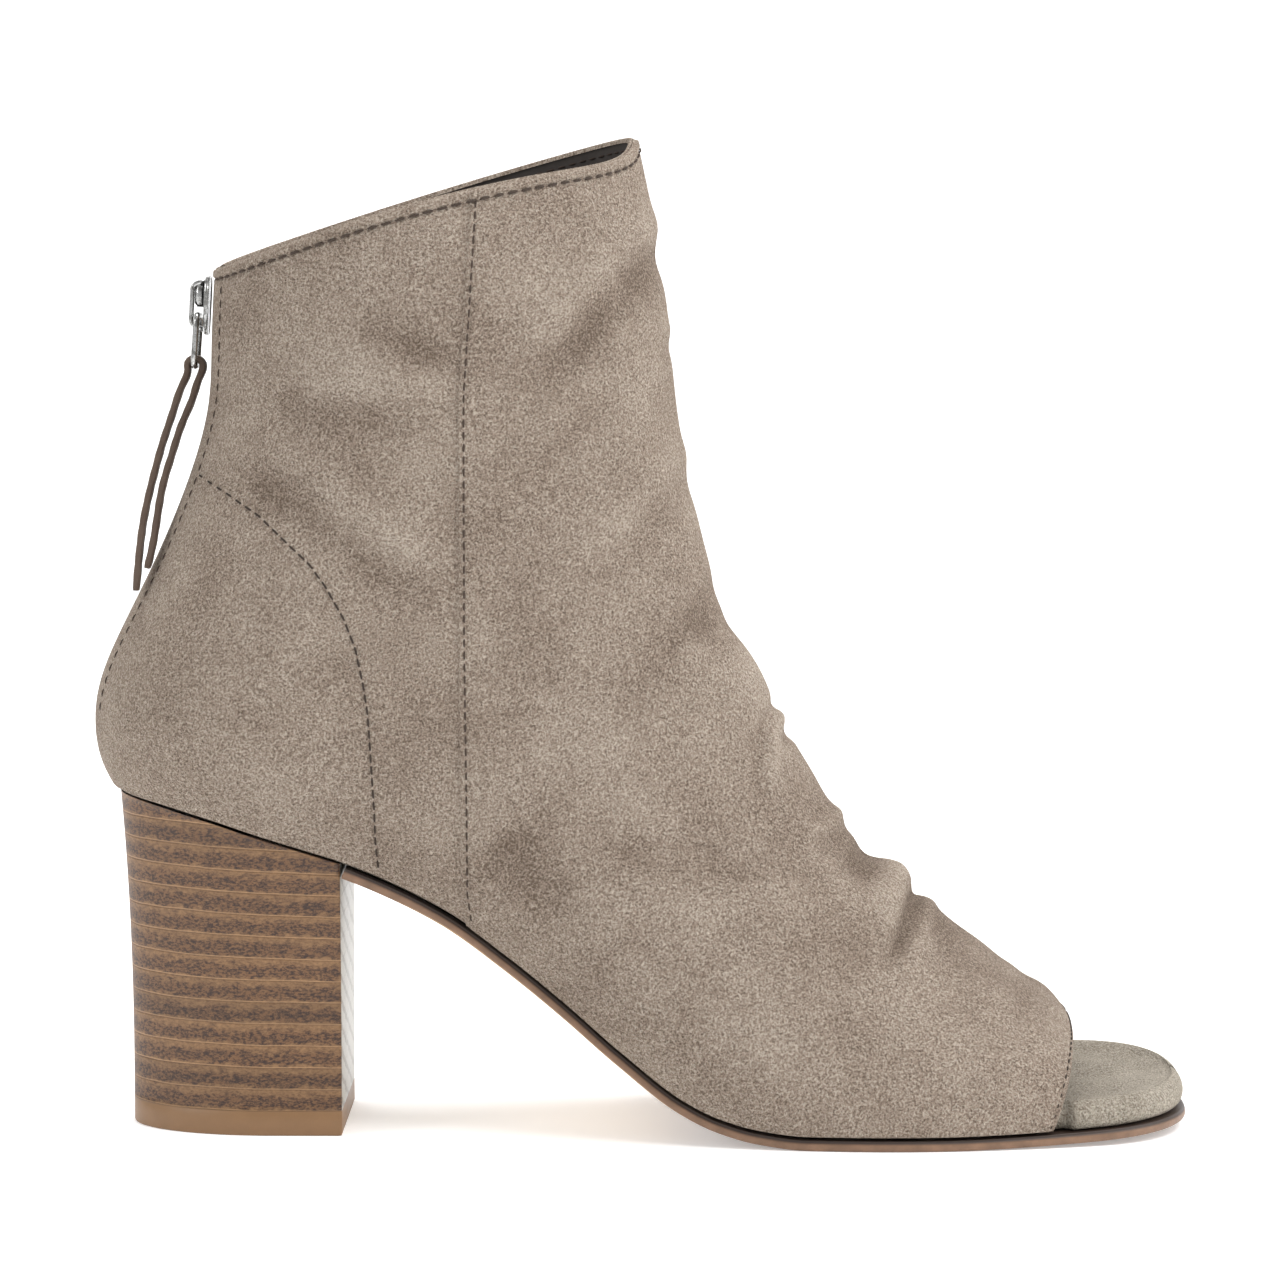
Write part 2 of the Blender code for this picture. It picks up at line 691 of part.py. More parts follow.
def pivot_point():
    """Middle of the ring's upper bar, where it hangs in the bridge."""
    here, up, out = slider_frame()
    _, inner = bridge_profile()
    lowest = -BRIDGE_LENGTH / 2 + BRIDGE_BAR + BRIDGE_SLOPE + RING_WIRE / 2 + GAP
    clear = inner[2][1] - RING_WIRE / 2 - GAP
    return here + up * lowest + out * clear


def tube(name, path, radius, sides, made, closed, width=None):
    """Sweeps a section along a path: a round one in its plane, a flat one with its width along Y."""
    shape = bmesh.new()
    rings = []
    count = len(path)
    for k, point in enumerate(path):
        before = path[(k - 1) % count] if closed or k > 0 else point
        after = path[(k + 1) % count] if closed or k < count - 1 else point
        along = (after - before).normalized()
        normal = Vector((0, 1, 0)) if width else path_normal(path)
        across = along.cross(normal).normalized()
        ring = []
        for j in range(sides):
            turn = 2 * math.pi * (j + 0.5) / sides
            if width is None:
                offset = across * math.cos(turn) * radius + normal * math.sin(turn) * radius
            else:
                offset = (across * math.copysign(radius, math.cos(turn))
                          + normal * math.copysign(width / 2, math.sin(turn)))
            ring.append(shape.verts.new(point + offset))
        rings.append(ring)
    pairs = zip(rings, rings[1:] + rings[:1]) if closed else zip(rings, rings[1:])
    for left, right in pairs:
        for j in range(sides):
            k = (j + 1) % sides
            shape.faces.new((left[j], left[k], right[k], right[j]))
    if not closed:
        shape.faces.new(rings[0])
        shape.faces.new(list(reversed(rings[-1])))
    return finish_mesh(name, shape, made)


def path_normal(path):
    """Normal of the plane that a flat path lies in."""
    centre = sum(path, Vector()) / len(path)
    total = Vector()
    for a, b in zip(path, path[1:]):
        total += (a - centre).cross(b - centre)
    return total.normalized()


def ring_path():
    """Rounded rectangle that hangs from the pivot."""
    pivot = pivot_point()
    down = Vector((-math.sin(RING_LEAN), 0, -math.cos(RING_LEAN)))
    across = Vector((0, 1, 0))
    half = (RING_WIDTH - RING_WIRE) / 2
    corner = RING_CORNER
    path = []
    centres = ((half, 0.0, -1, 1), (half, RING_LENGTH, 1, 1), (-half, RING_LENGTH, 1, -1),
               (-half, 0.0, -1, -1))
    starts = (math.pi * 1.5, 0.0, math.pi * 0.5, math.pi)
    for (y, z, z_sign, y_sign), start in zip(centres, starts):
        for k in range(4):
            turn = start + math.pi / 2 * k / 3
            cy = y - y_sign * corner + corner * math.cos(turn)
            cz = z - z_sign * corner + corner * math.sin(turn)
            path.append(pivot + across * cy + down * cz)
    return path, pivot, down


# Leather pull in the side view: reach behind the ring's lower bar and drop below it, as shares
# of the two named sizes; its ends lie a little towards the outer side
PULL_DROP = 0.0510
PULL_REACH = 0.0140
PULL_ASIDE = 0.0125
PULL_ASIDE_BEND = 1.3
PULL_FRONT = ((0.700, 0.860), (0.628, 0.768), (0.562, 0.642), (0.472, 0.494), (0.355, 0.382),
              (0.195, 0.243), (0.035, 0.135), (-0.050, 0.060))
PULL_BACK = ((0.195, 0.078), (0.338, 0.191), (0.485, 0.317), (0.635, 0.473), (0.765, 0.642),
             (0.830, 0.798), (0.865, 0.954))


def pull_path():
    """The strip's middle line: up its front strand, over the ring's lower bar and down its back."""
    _, pivot, down = ring_path()
    bar = pivot + down * RING_LENGTH
    head = RING_WIRE / 2 + GAP + LOOP_THICK / 2

    def place(reach, drop):
        aside = PULL_ASIDE * drop ** PULL_ASIDE_BEND
        return bar + Vector((-reach * PULL_REACH, -aside, -drop * PULL_DROP))

    points = [place(*pair) for pair in PULL_FRONT]
    for k in range(7):
        turn = math.radians(-20 + 220 * k / 6)
        points.append(bar + Vector((math.cos(turn), 0, math.sin(turn))) * head)
    points += [place(*pair) for pair in PULL_BACK]
    return points


def make_pull(made):
    return tube("pull_loop", pull_path(), LOOP_THICK / 2, 4, made, False, LOOP_WIDTH)


def main():
    for obj in list(bpy.data.objects):
        bpy.data.objects.remove(obj, do_unlink=True)
    suede = material("suede", (0.35, 0.29, 0.24), 0.95)
    sole_leather = material("sole_leather", (0.18, 0.10, 0.06), 0.5)
    stack = material("heel_stack", (0.25, 0.13, 0.07), 0.5)
    tip = material("heel_tip", (0.36, 0.20, 0.10), 0.55)
    tape = material("zip_tape", (0.12, 0.09, 0.07), 0.8)
    metal = material("zip_metal", (0.8, 0.8, 0.8), 0.25, 1.0)
    leather = material("pull_leather", (0.16, 0.11, 0.08), 0.7)
    make_upper(suede)
    make_footbed(suede)
    make_outsole(sole_leather)
    make_heel_block(stack)
    make_top_piece(tip)
    make_zip(tape)
    make_slider(metal)
    tube("pull_ring", ring_path()[0], RING_WIRE / 2, 8, metal, True)
    make_pull(leather)


main()
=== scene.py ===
"""Looks of the peep toe ankle boot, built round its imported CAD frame.

X runs from heel to toe, -Y is the outer side of the foot, +Z is up. All sizes are in metres.
"""
import math

import bpy
import numpy as np
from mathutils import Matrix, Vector
from mathutils.bvhtree import BVHTree


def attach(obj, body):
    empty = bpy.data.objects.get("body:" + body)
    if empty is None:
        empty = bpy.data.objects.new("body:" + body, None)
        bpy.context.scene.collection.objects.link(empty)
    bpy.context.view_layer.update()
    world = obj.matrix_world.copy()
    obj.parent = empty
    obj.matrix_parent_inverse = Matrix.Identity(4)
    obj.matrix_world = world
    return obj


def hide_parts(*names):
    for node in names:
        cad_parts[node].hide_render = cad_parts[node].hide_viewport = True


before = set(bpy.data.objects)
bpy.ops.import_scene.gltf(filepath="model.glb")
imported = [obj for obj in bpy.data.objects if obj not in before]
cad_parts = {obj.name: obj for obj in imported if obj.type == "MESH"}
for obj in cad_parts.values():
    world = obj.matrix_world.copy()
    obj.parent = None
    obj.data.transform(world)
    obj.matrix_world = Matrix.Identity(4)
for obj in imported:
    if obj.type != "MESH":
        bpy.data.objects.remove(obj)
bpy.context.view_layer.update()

# Driving sizes of the last, as in the CAD
LENGTH = 0.2405
BALL_WIDTH = 0.0805
HEEL_HEIGHT = 0.0713
INSTEP_HEIGHT = 0.0850
SHAFT_HEIGHT = 0.1160
SHAFT_WIDTH = 0.0660
TOE_SPRING = 0.0022
WALL = 0.0018
GAP = 0.0003
COLLAR_OUTER_DIP = 0.0060
COLLAR_INNER_RISE = 0.0012
COLLAR_CROWN = 0.0014
COLLAR_TURN = 2.2
OUTSOLE_THICK = 0.0024
OUTSOLE_LIP = 0.0004
FOOTBED_THICK = 0.0036
FOOTBED_RIM_LATERAL = 0.0060
FOOTBED_RIM_MEDIAL = 0.0078
FOOTBED_DISH = 0.0016
FOOTBED_TUCK = 0.0030
HEEL_LENGTH = 0.0475
HEEL_TIP_WIDTH = 0.0440
HEEL_SEAT_INSET = 0.0009
HEEL_STRAIGHT = 0.0150
HEEL_FLARE = 2.4
TOP_PIECE_THICK = 0.0056
ZIP_SLIT = 0.0056

# Underside of the outsole: x as a share of LENGTH, height as a share of HEEL_HEIGHT
SOLE_LINE = (
    # x, lift
    (-0.1127, 1.000),
    (-0.0690, 0.970),
    (-0.0210, 0.928),
    (0.0260, 0.878),
    (0.0670, 0.836),
    (0.0950, 0.806),
    (0.1370, 0.748),
    (0.1900, 0.655),
    (0.2460, 0.519),
    (0.2960, 0.384),
    (0.3470, 0.238),
    (0.4030, 0.098),
    (0.4390, 0.043),
    (0.4740, 0.014),
    (0.5160, 0.000),
    (0.6400, 0.000),
)

# Half widths of the last's bottom before its ends are rounded: shares of LENGTH and BALL_WIDTH
PLAN = (
    # x, lateral, medial
    (-0.113, 0.311, 0.311),
    (0.000, 0.323, 0.323),
    (0.092, 0.329, 0.329),
    (0.187, 0.323, 0.311),
    (0.270, 0.339, 0.323),
    (0.353, 0.385, 0.363),
    (0.437, 0.447, 0.412),
    (0.520, 0.494, 0.460),
    (0.603, 0.509, 0.491),
    (0.665, 0.494, 0.504),
    (0.728, 0.460, 0.501),
    (0.790, 0.416, 0.482),
    (0.870, 0.360, 0.435),
)
HEEL_END = -0.1127
HEEL_ROUND_FROM = 0.025
TOE_ROUND_FROM = 0.765
TOE_END = 0.869
TOE_SQUARENESS = 2.6

# Rings of the shaft, from the collar down to the heel seat
RINGS = (
    # back_x, back_rise, front_x, front_foot, front_shaft, half, round_back, round_front
    (-0.0195, 0.991, 0.3650, 1.000, 0.992, 0.500, 0.500, 0.500),
    (-0.0229, 0.845, 0.3892, 1.000, 0.774, 0.505, 0.490, 0.490),
    (-0.0270, 0.720, 0.4008, 1.000, 0.556, 0.512, 0.470, 0.480),
    (-0.0478, 0.573, 0.4170, 1.000, 0.387, 0.518, 0.430, 0.480),
    (-0.0811, 0.414, 0.4407, 1.000, 0.226, 0.523, 0.370, 0.480),
    (-0.1139, 0.276, 0.4719, 1.000, 0.103, 0.527, 0.310, 0.480),
    (-0.1306, 0.168, 0.4969, 1.018, 0.000, 0.525, 0.260, 0.470),
    (-0.1281, 0.069, 0.5239, 0.895, 0.000, 0.520, 0.225, 0.460),
)

# Arches of the foot, from the heel seat to the toe opening
ARCHES = (
    # foot_x, front_x, front_foot, swell, round_front, power, ridge
    (-0.1127, 0.5468, 0.804, 0.115, 0.450, 2.00, 0.000),
    (-0.0665, 0.5655, 0.727, 0.112, 0.430, 2.00, 0.004),
    (0.0083, 0.5863, 0.669, 0.106, 0.390, 2.00, 0.010),
    (0.0956, 0.6091, 0.622, 0.108, 0.340, 2.00, 0.016),
    (0.1996, 0.6299, 0.568, 0.128, 0.270, 2.00, 0.022),
    (0.3077, 0.6549, 0.507, 0.126, 0.190, 2.02, 0.028),
    (0.4075, 0.6778, 0.450, 0.095, 0.110, 2.06, 0.034),
    (0.5073, 0.7006, 0.396, 0.056, 0.050, 2.12, 0.040),
    (0.6071, 0.7235, 0.345, 0.037, 0.010, 2.20, 0.046),
    (0.6819, 0.7464, 0.294, 0.029, 0.000, 2.35, 0.050),
    (0.7376, 0.7659, 0.222, 0.022, 0.000, 2.60, 0.052),
)
FLARE_HEIGHT = 0.0140
SEAT_ROW = len(RINGS)
LAST_ROW = SEAT_ROW + len(ARCHES) - 1
ZIP_LAST_ROW = 6.0


def column(table, index):
    return np.array([row[index] for row in table], float)


def spline(knots, values, at):
    """Natural cubic through the knots, for an array of places."""
    knots = np.asarray(knots, float)
    values = np.asarray(values, float)
    at = np.asarray(at, float)
    step = np.diff(knots)
    slope = np.diff(values) / step
    count = len(knots)
    system = np.eye(count)
    right = np.zeros(count)
    for i in range(1, count - 1):
        system[i, i - 1] = step[i - 1]
        system[i, i] = 2.0 * (step[i - 1] + step[i])
        system[i, i + 1] = step[i]
        right[i] = 6.0 * (slope[i] - slope[i - 1])
    bend = np.linalg.solve(system, right)
    i = np.clip(np.searchsorted(knots, at) - 1, 0, count - 2)
    a = (knots[i + 1] - at) / step[i]
    b = (at - knots[i]) / step[i]
    curve = ((a ** 3 - a) * bend[i] + (b ** 3 - b) * bend[i + 1]) * step[i] ** 2 / 6.0
    return a * values[i] + b * values[i + 1] + curve


def steady(knots, values, at):
    """Cubic through the knots that never overshoots, for an array of places."""
    knots = np.asarray(knots, float)
    values = np.asarray(values, float)
    at = np.clip(np.asarray(at, float), knots[0], knots[-1])
    step = np.diff(knots)
    slope = np.diff(values) / step
    tangent = np.concatenate(([slope[0]], np.zeros(len(slope) - 1), [slope[-1]]))
    for i in range(1, len(slope)):
        if slope[i - 1] * slope[i] > 0:
            tangent[i] = 2.0 * slope[i - 1] * slope[i] / (slope[i - 1] + slope[i])
    i = np.clip(np.searchsorted(knots, at) - 1, 0, len(step) - 1)
    t = (at - knots[i]) / step[i]
    rest = 1.0 - t
    return (values[i] * (1 + 2 * t) * rest ** 2 + values[i + 1] * t ** 2 * (3 - 2 * t)
            + step[i] * (tangent[i] * t * rest ** 2 - tangent[i + 1] * t ** 2 * rest))


def sole_z(x):
    """Underside of the outsole."""
    share = np.asarray(x, float) / LENGTH
    lift = steady(column(SOLE_LINE, 0), column(SOLE_LINE, 1), share) * HEEL_HEIGHT
    toe = np.maximum(0.0, (share - SOLE_LINE[-1][0]) / (TOE_END - SOLE_LINE[-1][0]))
    return lift + TOE_SPRING * toe ** 1.5


def sole_up(x):
    """Direction square to the sole line in the side view, as its x and z parts."""
    reach = 0.001
    rise = (sole_z(x + reach) - sole_z(x - reach)) / (2 * reach)
    long = np.sqrt(1.0 + rise ** 2)
    return -rise / long, 1.0 / long


def feather_z(x):
    """Lower edge of the upper, just above the outsole and the heel."""
    return sole_z(x) + (OUTSOLE_THICK + GAP) / sole_up(x)[1]


def bottom_width(x, side):
    return spline(column(PLAN, 0), column(PLAN, 1 if side < 0 else 2), x / LENGTH) * BALL_WIDTH


def end_round(x):
    """How much of the half width is left where the heel and the toe close round."""
    share = np.asarray(x, float) / LENGTH
    heel = np.clip((HEEL_ROUND_FROM - share) / (HEEL_ROUND_FROM - HEEL_END), 0.0, 1.0)
    toe = np.clip((share - TOE_ROUND_FROM) / (TOE_END - TOE_ROUND_FROM), 0.0, 1.0)
    return np.sqrt(1.0 - heel ** 2) * (1.0 - toe ** TOE_SQUARENESS) ** (1.0 / TOE_SQUARENESS)


def edge(x, side):
    return bottom_width(x, side) * end_round(x)


def plan_point(x, side, inset):
    """Points of the bottom's outline, moved inwards square to it."""
    reach = 0.0002
    low = np.maximum(x - reach, HEEL_END * LENGTH)
    high = np.minimum(x + reach, TOE_END * LENGTH)
    rise = edge(high, side) - edge(low, side)
    long = np.hypot(high - low, rise)
    return x + rise / long * inset, side * (edge(x, side) - (high - low) / long * inset)


def row_tables(side):
    """Knot values of the upper's sections, one row each."""
    rows = []
    for back_x, rise, front_x, foot, shaft, half, round_back, round_front in RINGS:
        x = front_x * LENGTH
        rows.append((back_x * LENGTH, feather_z(HEEL_END * LENGTH) + rise * SHAFT_HEIGHT, x,
                     feather_z(x) + foot * INSTEP_HEIGHT + shaft * SHAFT_HEIGHT,
                     half * SHAFT_WIDTH, round_back, round_front, 2.0, 0.0))
    round_back = (HEEL_ROUND_FROM - HEEL_END) / (ARCHES[0][1] - HEEL_END)
    for foot_x, front_x, foot, swell, round_front, power, ridge in ARCHES:
        x = front_x * LENGTH
        back = foot_x * LENGTH
        rows.append((back, feather_z(back), x, feather_z(x) + foot * INSTEP_HEIGHT,
                     bottom_width(back, side) + swell * BALL_WIDTH, round_back, round_front,
                     power, ridge * BALL_WIDTH))
    return np.array(rows, float)


ROWS = {side: row_tables(side) for side in (-1, 1)}


def sections(rows, side):
    """Ends, half width, rounding, power and ridge of the sections at an array of rows."""
    table = ROWS[side]
    knots = np.arange(len(table))
    rows = np.asarray(rows, float)
    values = np.array([spline(knots, table[:, k], rows) for k in range(9)])
    shaft = rows <= SEAT_ROW
    for k in (0, 1, 5):
        ring = spline(knots[:SEAT_ROW + 1], table[:SEAT_ROW + 1, k], rows)
        values[k] = np.where(shaft, ring, values[k])
    foot = steady(knots[SEAT_ROW:], table[SEAT_ROW:, 0], rows)
    values[0] = np.where(shaft, values[0], foot)
    values[1] = np.where(shaft, values[1], feather_z(values[0]))
    values[6] = np.maximum(values[6], 0.0)
    return values


def skin(rows, places, side):
    """Points of the upper's outer face: place is 0 at the back or the feather line, 1 in front."""
    rows, places = np.broadcast_arrays(np.asarray(rows, float), np.asarray(places, float))
    flat_rows, back = np.unique(rows, return_inverse=True)
    values = sections(flat_rows, side)[:, back.reshape(rows.shape)]
    back_x, back_z, front_x, front_z, half, round_back, round_front, power, ridge = values
    both_ends = 0.5 - 0.5 * np.cos(np.pi * places)
    front_end = np.sin(np.pi / 2 * places)
    shaft = rows <= SEAT_ROW
    share = np.where(shaft, both_ends,
                     both_ends + (front_end - both_ends) * end_round(back_x) ** 2)
    x = back_x + (front_x - back_x) * share
    z = back_z + (front_z - back_z) * share
    height = np.maximum(0.0, z - feather_z(x))
    foot = bottom_width(x, side)
    body = foot + (half - foot) * (1.0 - np.exp(-height / FLARE_HEIGHT))
    behind = np.clip(1.0 - share / round_back, 0.0, 1.0)
    heel = np.where(shaft, np.sqrt(1.0 - behind ** 2),
                    end_round(np.minimum(x, TOE_ROUND_FROM * LENGTH)))
    body = body * heel
    near = np.clip((share - round_front) / (1.0 - round_front), 0.0, 1.0)
    body = body * (1.0 - near ** power) ** (1.0 / power)
    dip = COLLAR_OUTER_DIP * (0.25 + 0.75 * share ** 3)
    lean = -dip if side < 0 else COLLAR_INNER_RISE
    lift = lean * np.tanh(COLLAR_TURN * body / half) + 4.0 * COLLAR_CROWN * share * (1.0 - share)
    z = z + lift * np.maximum(0.0, 1.0 - rows) ** 2
    return np.stack((x, side * body + ridge * near ** 2, z), axis=-1)


def unit(vectors):
    return vectors / np.maximum(np.linalg.norm(vectors, axis=-1, keepdims=True), 1e-12)


def skin_out(rows, places, side):
    """Directions square to the upper's outer face."""
    rows, places = np.broadcast_arrays(np.asarray(rows, float), np.asarray(places, float))
    step = 0.001
    at_knot = (rows == SEAT_ROW) | (rows == LAST_ROW)
    below = np.where(at_knot, rows, rows + step)
    above = np.where(rows == 0, rows, rows - step)
    down = skin(below, places, side) - skin(above, places, side)
    ahead = np.minimum(places + step, 1.0)
    lean = skin(rows, ahead, side) - skin(rows, ahead - step, side)
    out = np.cross(down, lean) * (1.0 if side < 0 else -1.0)
    middle = (places == 0.0) & (rows <= SEAT_ROW)
    out[..., 1] = np.where(middle, 0.0, out[..., 1])
    return unit(out)


def back_place(rows, reach, side):
    """Place on a ring at a given distance from the back's middle line."""
    values = sections(rows, side)
    share = values[5] * (1.0 - np.sqrt(1.0 - (reach / values[4]) ** 2))
    return np.arccos(1.0 - 2.0 * share) / np.pi


def smooth(t):
    t = np.clip(t, 0.0, 1.0)
    return t * t * (3.0 - 2.0 * t)


def bell(distance, width, at=0.0):
    """Soft hump of height 1 round a distance."""
    return np.exp(-((distance - at) / width) ** 2)


def run_along(points):
    """Length walked along a line, at each of its points."""
    return np.concatenate(([0.0], np.cumsum(np.linalg.norm(np.diff(points, axis=0), axis=1))))


def at_run(distance, run, values):
    """Values of a line at a length walked along it."""
    return np.array([np.interp(distance, run, values[:, k]) for k in range(values.shape[1])])


# Line of the side seam, in millimetres: x, z
SEAM_LINE = ((52.6, 214.0), (52.4, 204.5), (50.9, 180.8), (49.6, 161.2), (49.6, 110.0),
             (50.0, 70.8), (50.0, 54.6), (51.2, 44.0), (52.0, 38.0))

# Counter stitch line on the back quarter, in millimetres: x, z
COUNTER_LINE = ((-9.0, 144.4), (-6.6, 143.3), (-0.4, 140.0), (7.0, 135.4), (18.0, 125.4),
                (21.6, 120.6), (25.4, 113.8), (27.8, 107.6), (29.5, 99.6), (30.4, 93.4),
                (30.8, 86.4), (31.2, 79.2), (31.6, 71.6), (31.7, 66.0), (32.3, 58.2))

# Creases in the side view: a soft trough (depth under 0) or ridge along a line of x, z points.
# The second lift is a ridge (or trough) beside it, offset to the right of the line's way.
CREASES = (
    # lift, width, beside, offset, points (mm)
    (-1.5, 4.2, 0.7, 7.0, ((95.5, 192.0), (91.7, 189.7), (87.3, 185.3), (81.9, 179.3), (76.4, 173.3),
                           (70.9, 167.8), (65.0, 162.0), (60.0, 157.0))),
    (-0.6, 2.4, 0.3, 4.0, ((97.0, 171.0), (90.0, 171.5), (84.0, 169.0))),
    (0.8, 4.0, -0.7, -7.0, ((24.0, 170.0), (33.0, 167.0), (42.0, 163.0), (50.0, 159.0))),
    (-1.2, 4.2, 0.7, -8.5, ((2.0, 145.5), (13.0, 138.0), (25.0, 129.0), (37.0, 120.5), (47.0, 113.5))),
    (-1.0, 3.8, 0.6, -7.5, ((8.0, 162.5), (14.0, 159.0), (20.0, 156.8), (32.0, 156.0), (44.0, 155.5))),
    (0.5, 5.0, 0.0, 0.0, ((20.0, 140.0), (32.0, 133.0), (46.0, 124.0))),
    (-0.7, 4.0, 0.5, 7.0, ((99.0, 141.0), (92.0, 134.0), (84.0, 124.0), (76.0, 117.0))),
    (-0.7, 3.4, 0.5, -5.0, ((104.5, 118.0), (99.0, 111.0), (93.0, 106.0), (88.0, 103.0))),
    (1.0, 2.0, -0.8, 3.4, ((119.5, 89.5), (118.4, 86.6), (117.4, 82.0), (117.4, 77.4), (119.3, 72.4),
                           (121.4, 69.4))),
    (-1.2, 2.0, 0.5, -3.2, ((122.6, 88.4), (120.9, 86.0), (120.6, 82.4))),
    (-1.0, 2.2, 0.7, 4.0, ((136.5, 66.5), (133.5, 64.3), (129.0, 62.6), (126.0, 59.5))),
    (1.1, 8.0, 0.0, 0.0, ((117.0, 103.0), (112.0, 97.0), (107.0, 92.0))),
    (-1.5, 5.0, 0.0, 0.0, ((109.0, 113.0), (105.0, 111.0), (100.0, 108.0))),
    (-1.0, 5.0, 0.0, 0.0, ((133.0, 74.0), (129.0, 71.0), (124.0, 67.0))),
    (-2.4, 4.6, 0.0, 0.0, ((141.5, 63.0), (138.0, 59.0), (134.5, 54.0))),
    (-1.5, 9.0, 0.0, 0.0, ((163.0, 51.0), (158.0, 46.0), (151.0, 38.0))),
    (-1.0, 7.0, 0.0, 0.0, ((177.0, 41.0), (172.0, 36.0), (166.0, 30.0))),
    (0.6, 3.4, -0.5, 6.0, ((109.0, 64.0), (114.0, 63.6), (119.0, 62.6))),
    (1.3, 3.8, 0.0, 0.0, ((147.0, 59.0), (145.5, 55.0), (143.0, 50.0), (140.0, 45.0))),
    (-2.2, 2.0, 0.6, -4.5, ((152.6, 53.0), (149.2, 50.4), (147.4, 46.6), (145.0, 42.0), (142.0, 38.0),
                            (139.5, 35.4))),
    (-1.3, 8.0, 0.4, 14.0, ((57.0, 68.0), (63.0, 61.0), (70.0, 54.0), (76.0, 49.0))),
    (0.5, 5.0, -0.5, 9.0, ((82.0, 76.0), (92.0, 70.0), (102.0, 68.0))),
    (-0.5, 3.0, 0.3, -5.0, ((137.0, 44.0), (134.0, 39.0), (132.0, 33.0))),
    (-0.4, 3.0, 0.3, 5.0, ((176.0, 31.0), (172.0, 28.0), (167.0, 22.0))),
)
INNER_CREASE_SHARE = 0.8
CREASE_BESIDE_WIDTH = 0.8
CREASE_EASE_IN = 0.15
CREASE_EASE_OUT = 0.35
# A crease that starts ahead of this x (mm) runs on over the front edge
CREASE_FRONT_X = 94.0
CREASE_FRONT_EASE_OUT = 0.5


def along_line(x, z, line):
    """Distance from a line of x, z points, signed to the right of its way, and its share walked."""
    points = np.array(line, float) / 1000.0
    steps = np.diff(points, axis=0)
    lengths = np.hypot(steps[:, 0], steps[:, 1])
    before = np.concatenate(([0.0], np.cumsum(lengths)))
    best = np.full(np.shape(x), 1e9)
    signed = np.zeros(np.shape(x))
    share = np.zeros(np.shape(x))
    for (px, pz), (dx, dz), length, start in zip(points, steps, lengths, before):
        t = np.clip(((x - px) * dx + (z - pz) * dz) / length ** 2, 0.0, 1.0)
        ox, oz = x - px - t * dx, z - pz - t * dz
        far = np.hypot(ox, oz)
        closer = far < best
        best = np.where(closer, far, best)
        signed = np.where(closer, np.sign(dz * ox - dx * oz) * far, signed)
        share = np.where(closer, (start + t * length) / before[-1], share)
    return signed, share


def relief(points, side):
    """Height of the creases at points of the upper, in metres."""
    x, z = points[..., 0], points[..., 2]
    lift = np.zeros(x.shape)
    for height, width, beside, offset, line in CREASES:
        signed, share = along_line(x, z, line)
        ends = smooth(share / CREASE_EASE_IN) * smooth((1.0 - share) / CREASE_EASE_OUT)
        if line[0][0] > CREASE_FRONT_X:
            ends = smooth((1.0 - share) / CREASE_FRONT_EASE_OUT)
        lift += height * bell(signed, width / 1000.0) * ends
        lift += beside * bell(signed, CREASE_BESIDE_WIDTH * width / 1000.0, offset / 1000.0) * ends
    return lift * (0.001 if side < 0 else 0.001 * INNER_CREASE_SHARE)


def polyline_x(z, line):
    table = np.array(sorted((b, a) for a, b in line), float) / 1000.0
    return np.interp(z, table[:, 0], table[:, 1])


FINE = np.linspace(0.0, 1.0, 301)


def seam_place(row, side):
    """Place where a section crosses the side seam, or 0 where it starts ahead of it."""
    points = skin(np.full(FINE.shape, row), FINE, side)
    ahead = points[:, 0] - polyline_x(points[:, 2], SEAM_LINE)
    if ahead[0] >= 0:
        return 0.0
    k = int(np.argmax(ahead > 0))
    return float(np.interp(0.0, (ahead[k - 1], ahead[k]), (FINE[k - 1], FINE[k])))


def places_at(row, side, start, end, count):
    """Places along a section at set distances from its start, then evenly to its end."""
    places = start + (end - start) * FINE
    points = skin(np.full(FINE.shape, row), places, side)
    run = run_along(points)
    evenly = run[-1] * np.linspace(0.0, 0.5, len(EDGE_STEPS))
    edge_part = np.minimum(np.array(EDGE_STEPS), evenly + 1e-7)
    rest = edge_part[-1] + (run[-1] - edge_part[-1]) * np.arange(1, count + 1) / count
    distance = np.concatenate((edge_part, rest))
    return np.interp(distance, run, places), distance


def mesh_piece(name, points, faces, material, attributes=None):
    mesh = bpy.data.meshes.new(name)
    mesh.from_pydata([tuple(p) for p in points], [], faces)
    mesh.materials.append(material)
    mesh.shade_smooth()
    for key, values in (attributes or {}).items():
        layer = mesh.attributes.new(key, "FLOAT", "POINT")
        layer.data.foreach_set("value", np.asarray(values, np.float32))
    mesh.update()
    obj = bpy.data.objects.new(name, mesh)
    bpy.context.scene.collection.objects.link(obj)
    return obj


def grid_faces(rows, cols, flip=False, wrap=False):
    faces = []
    span = cols if wrap else cols - 1
    for i in range(rows - 1):
        for j in range(span):
            k = (j + 1) % cols
            a, b, c, d = i * cols + j, (i + 1) * cols + j, (i + 1) * cols + k, i * cols + k
            faces.append((a, d, c, b) if flip else (a, b, c, d))
    return faces


COLLAR_STEPS = (0.0, 0.00015, 0.0004, 0.0007, 0.0011, 0.0016, 0.0021, 0.0024, 0.0026, 0.0028,
                0.0031)
EDGE_STEPS = (0.0, 0.0001, 0.00025, 0.00045, 0.0007, 0.0010, 0.0014, 0.0019)
COLLAR_ROW_LENGTH = 0.0190
MOUTH_ROW_LENGTH = 0.0110
# Turned edges: how far they drop, over what length they roll, and where the collar's swell ends
COLLAR_DROP = 0.0009
COLLAR_ROLL = 0.0008
COLLAR_SWELL = 0.0003
COLLAR_SWELL_END = 0.0019
COLLAR_SWELL_EASE = 0.0007
MOUTH_DROP = 0.0008
MOUTH_ROLL = 0.0007
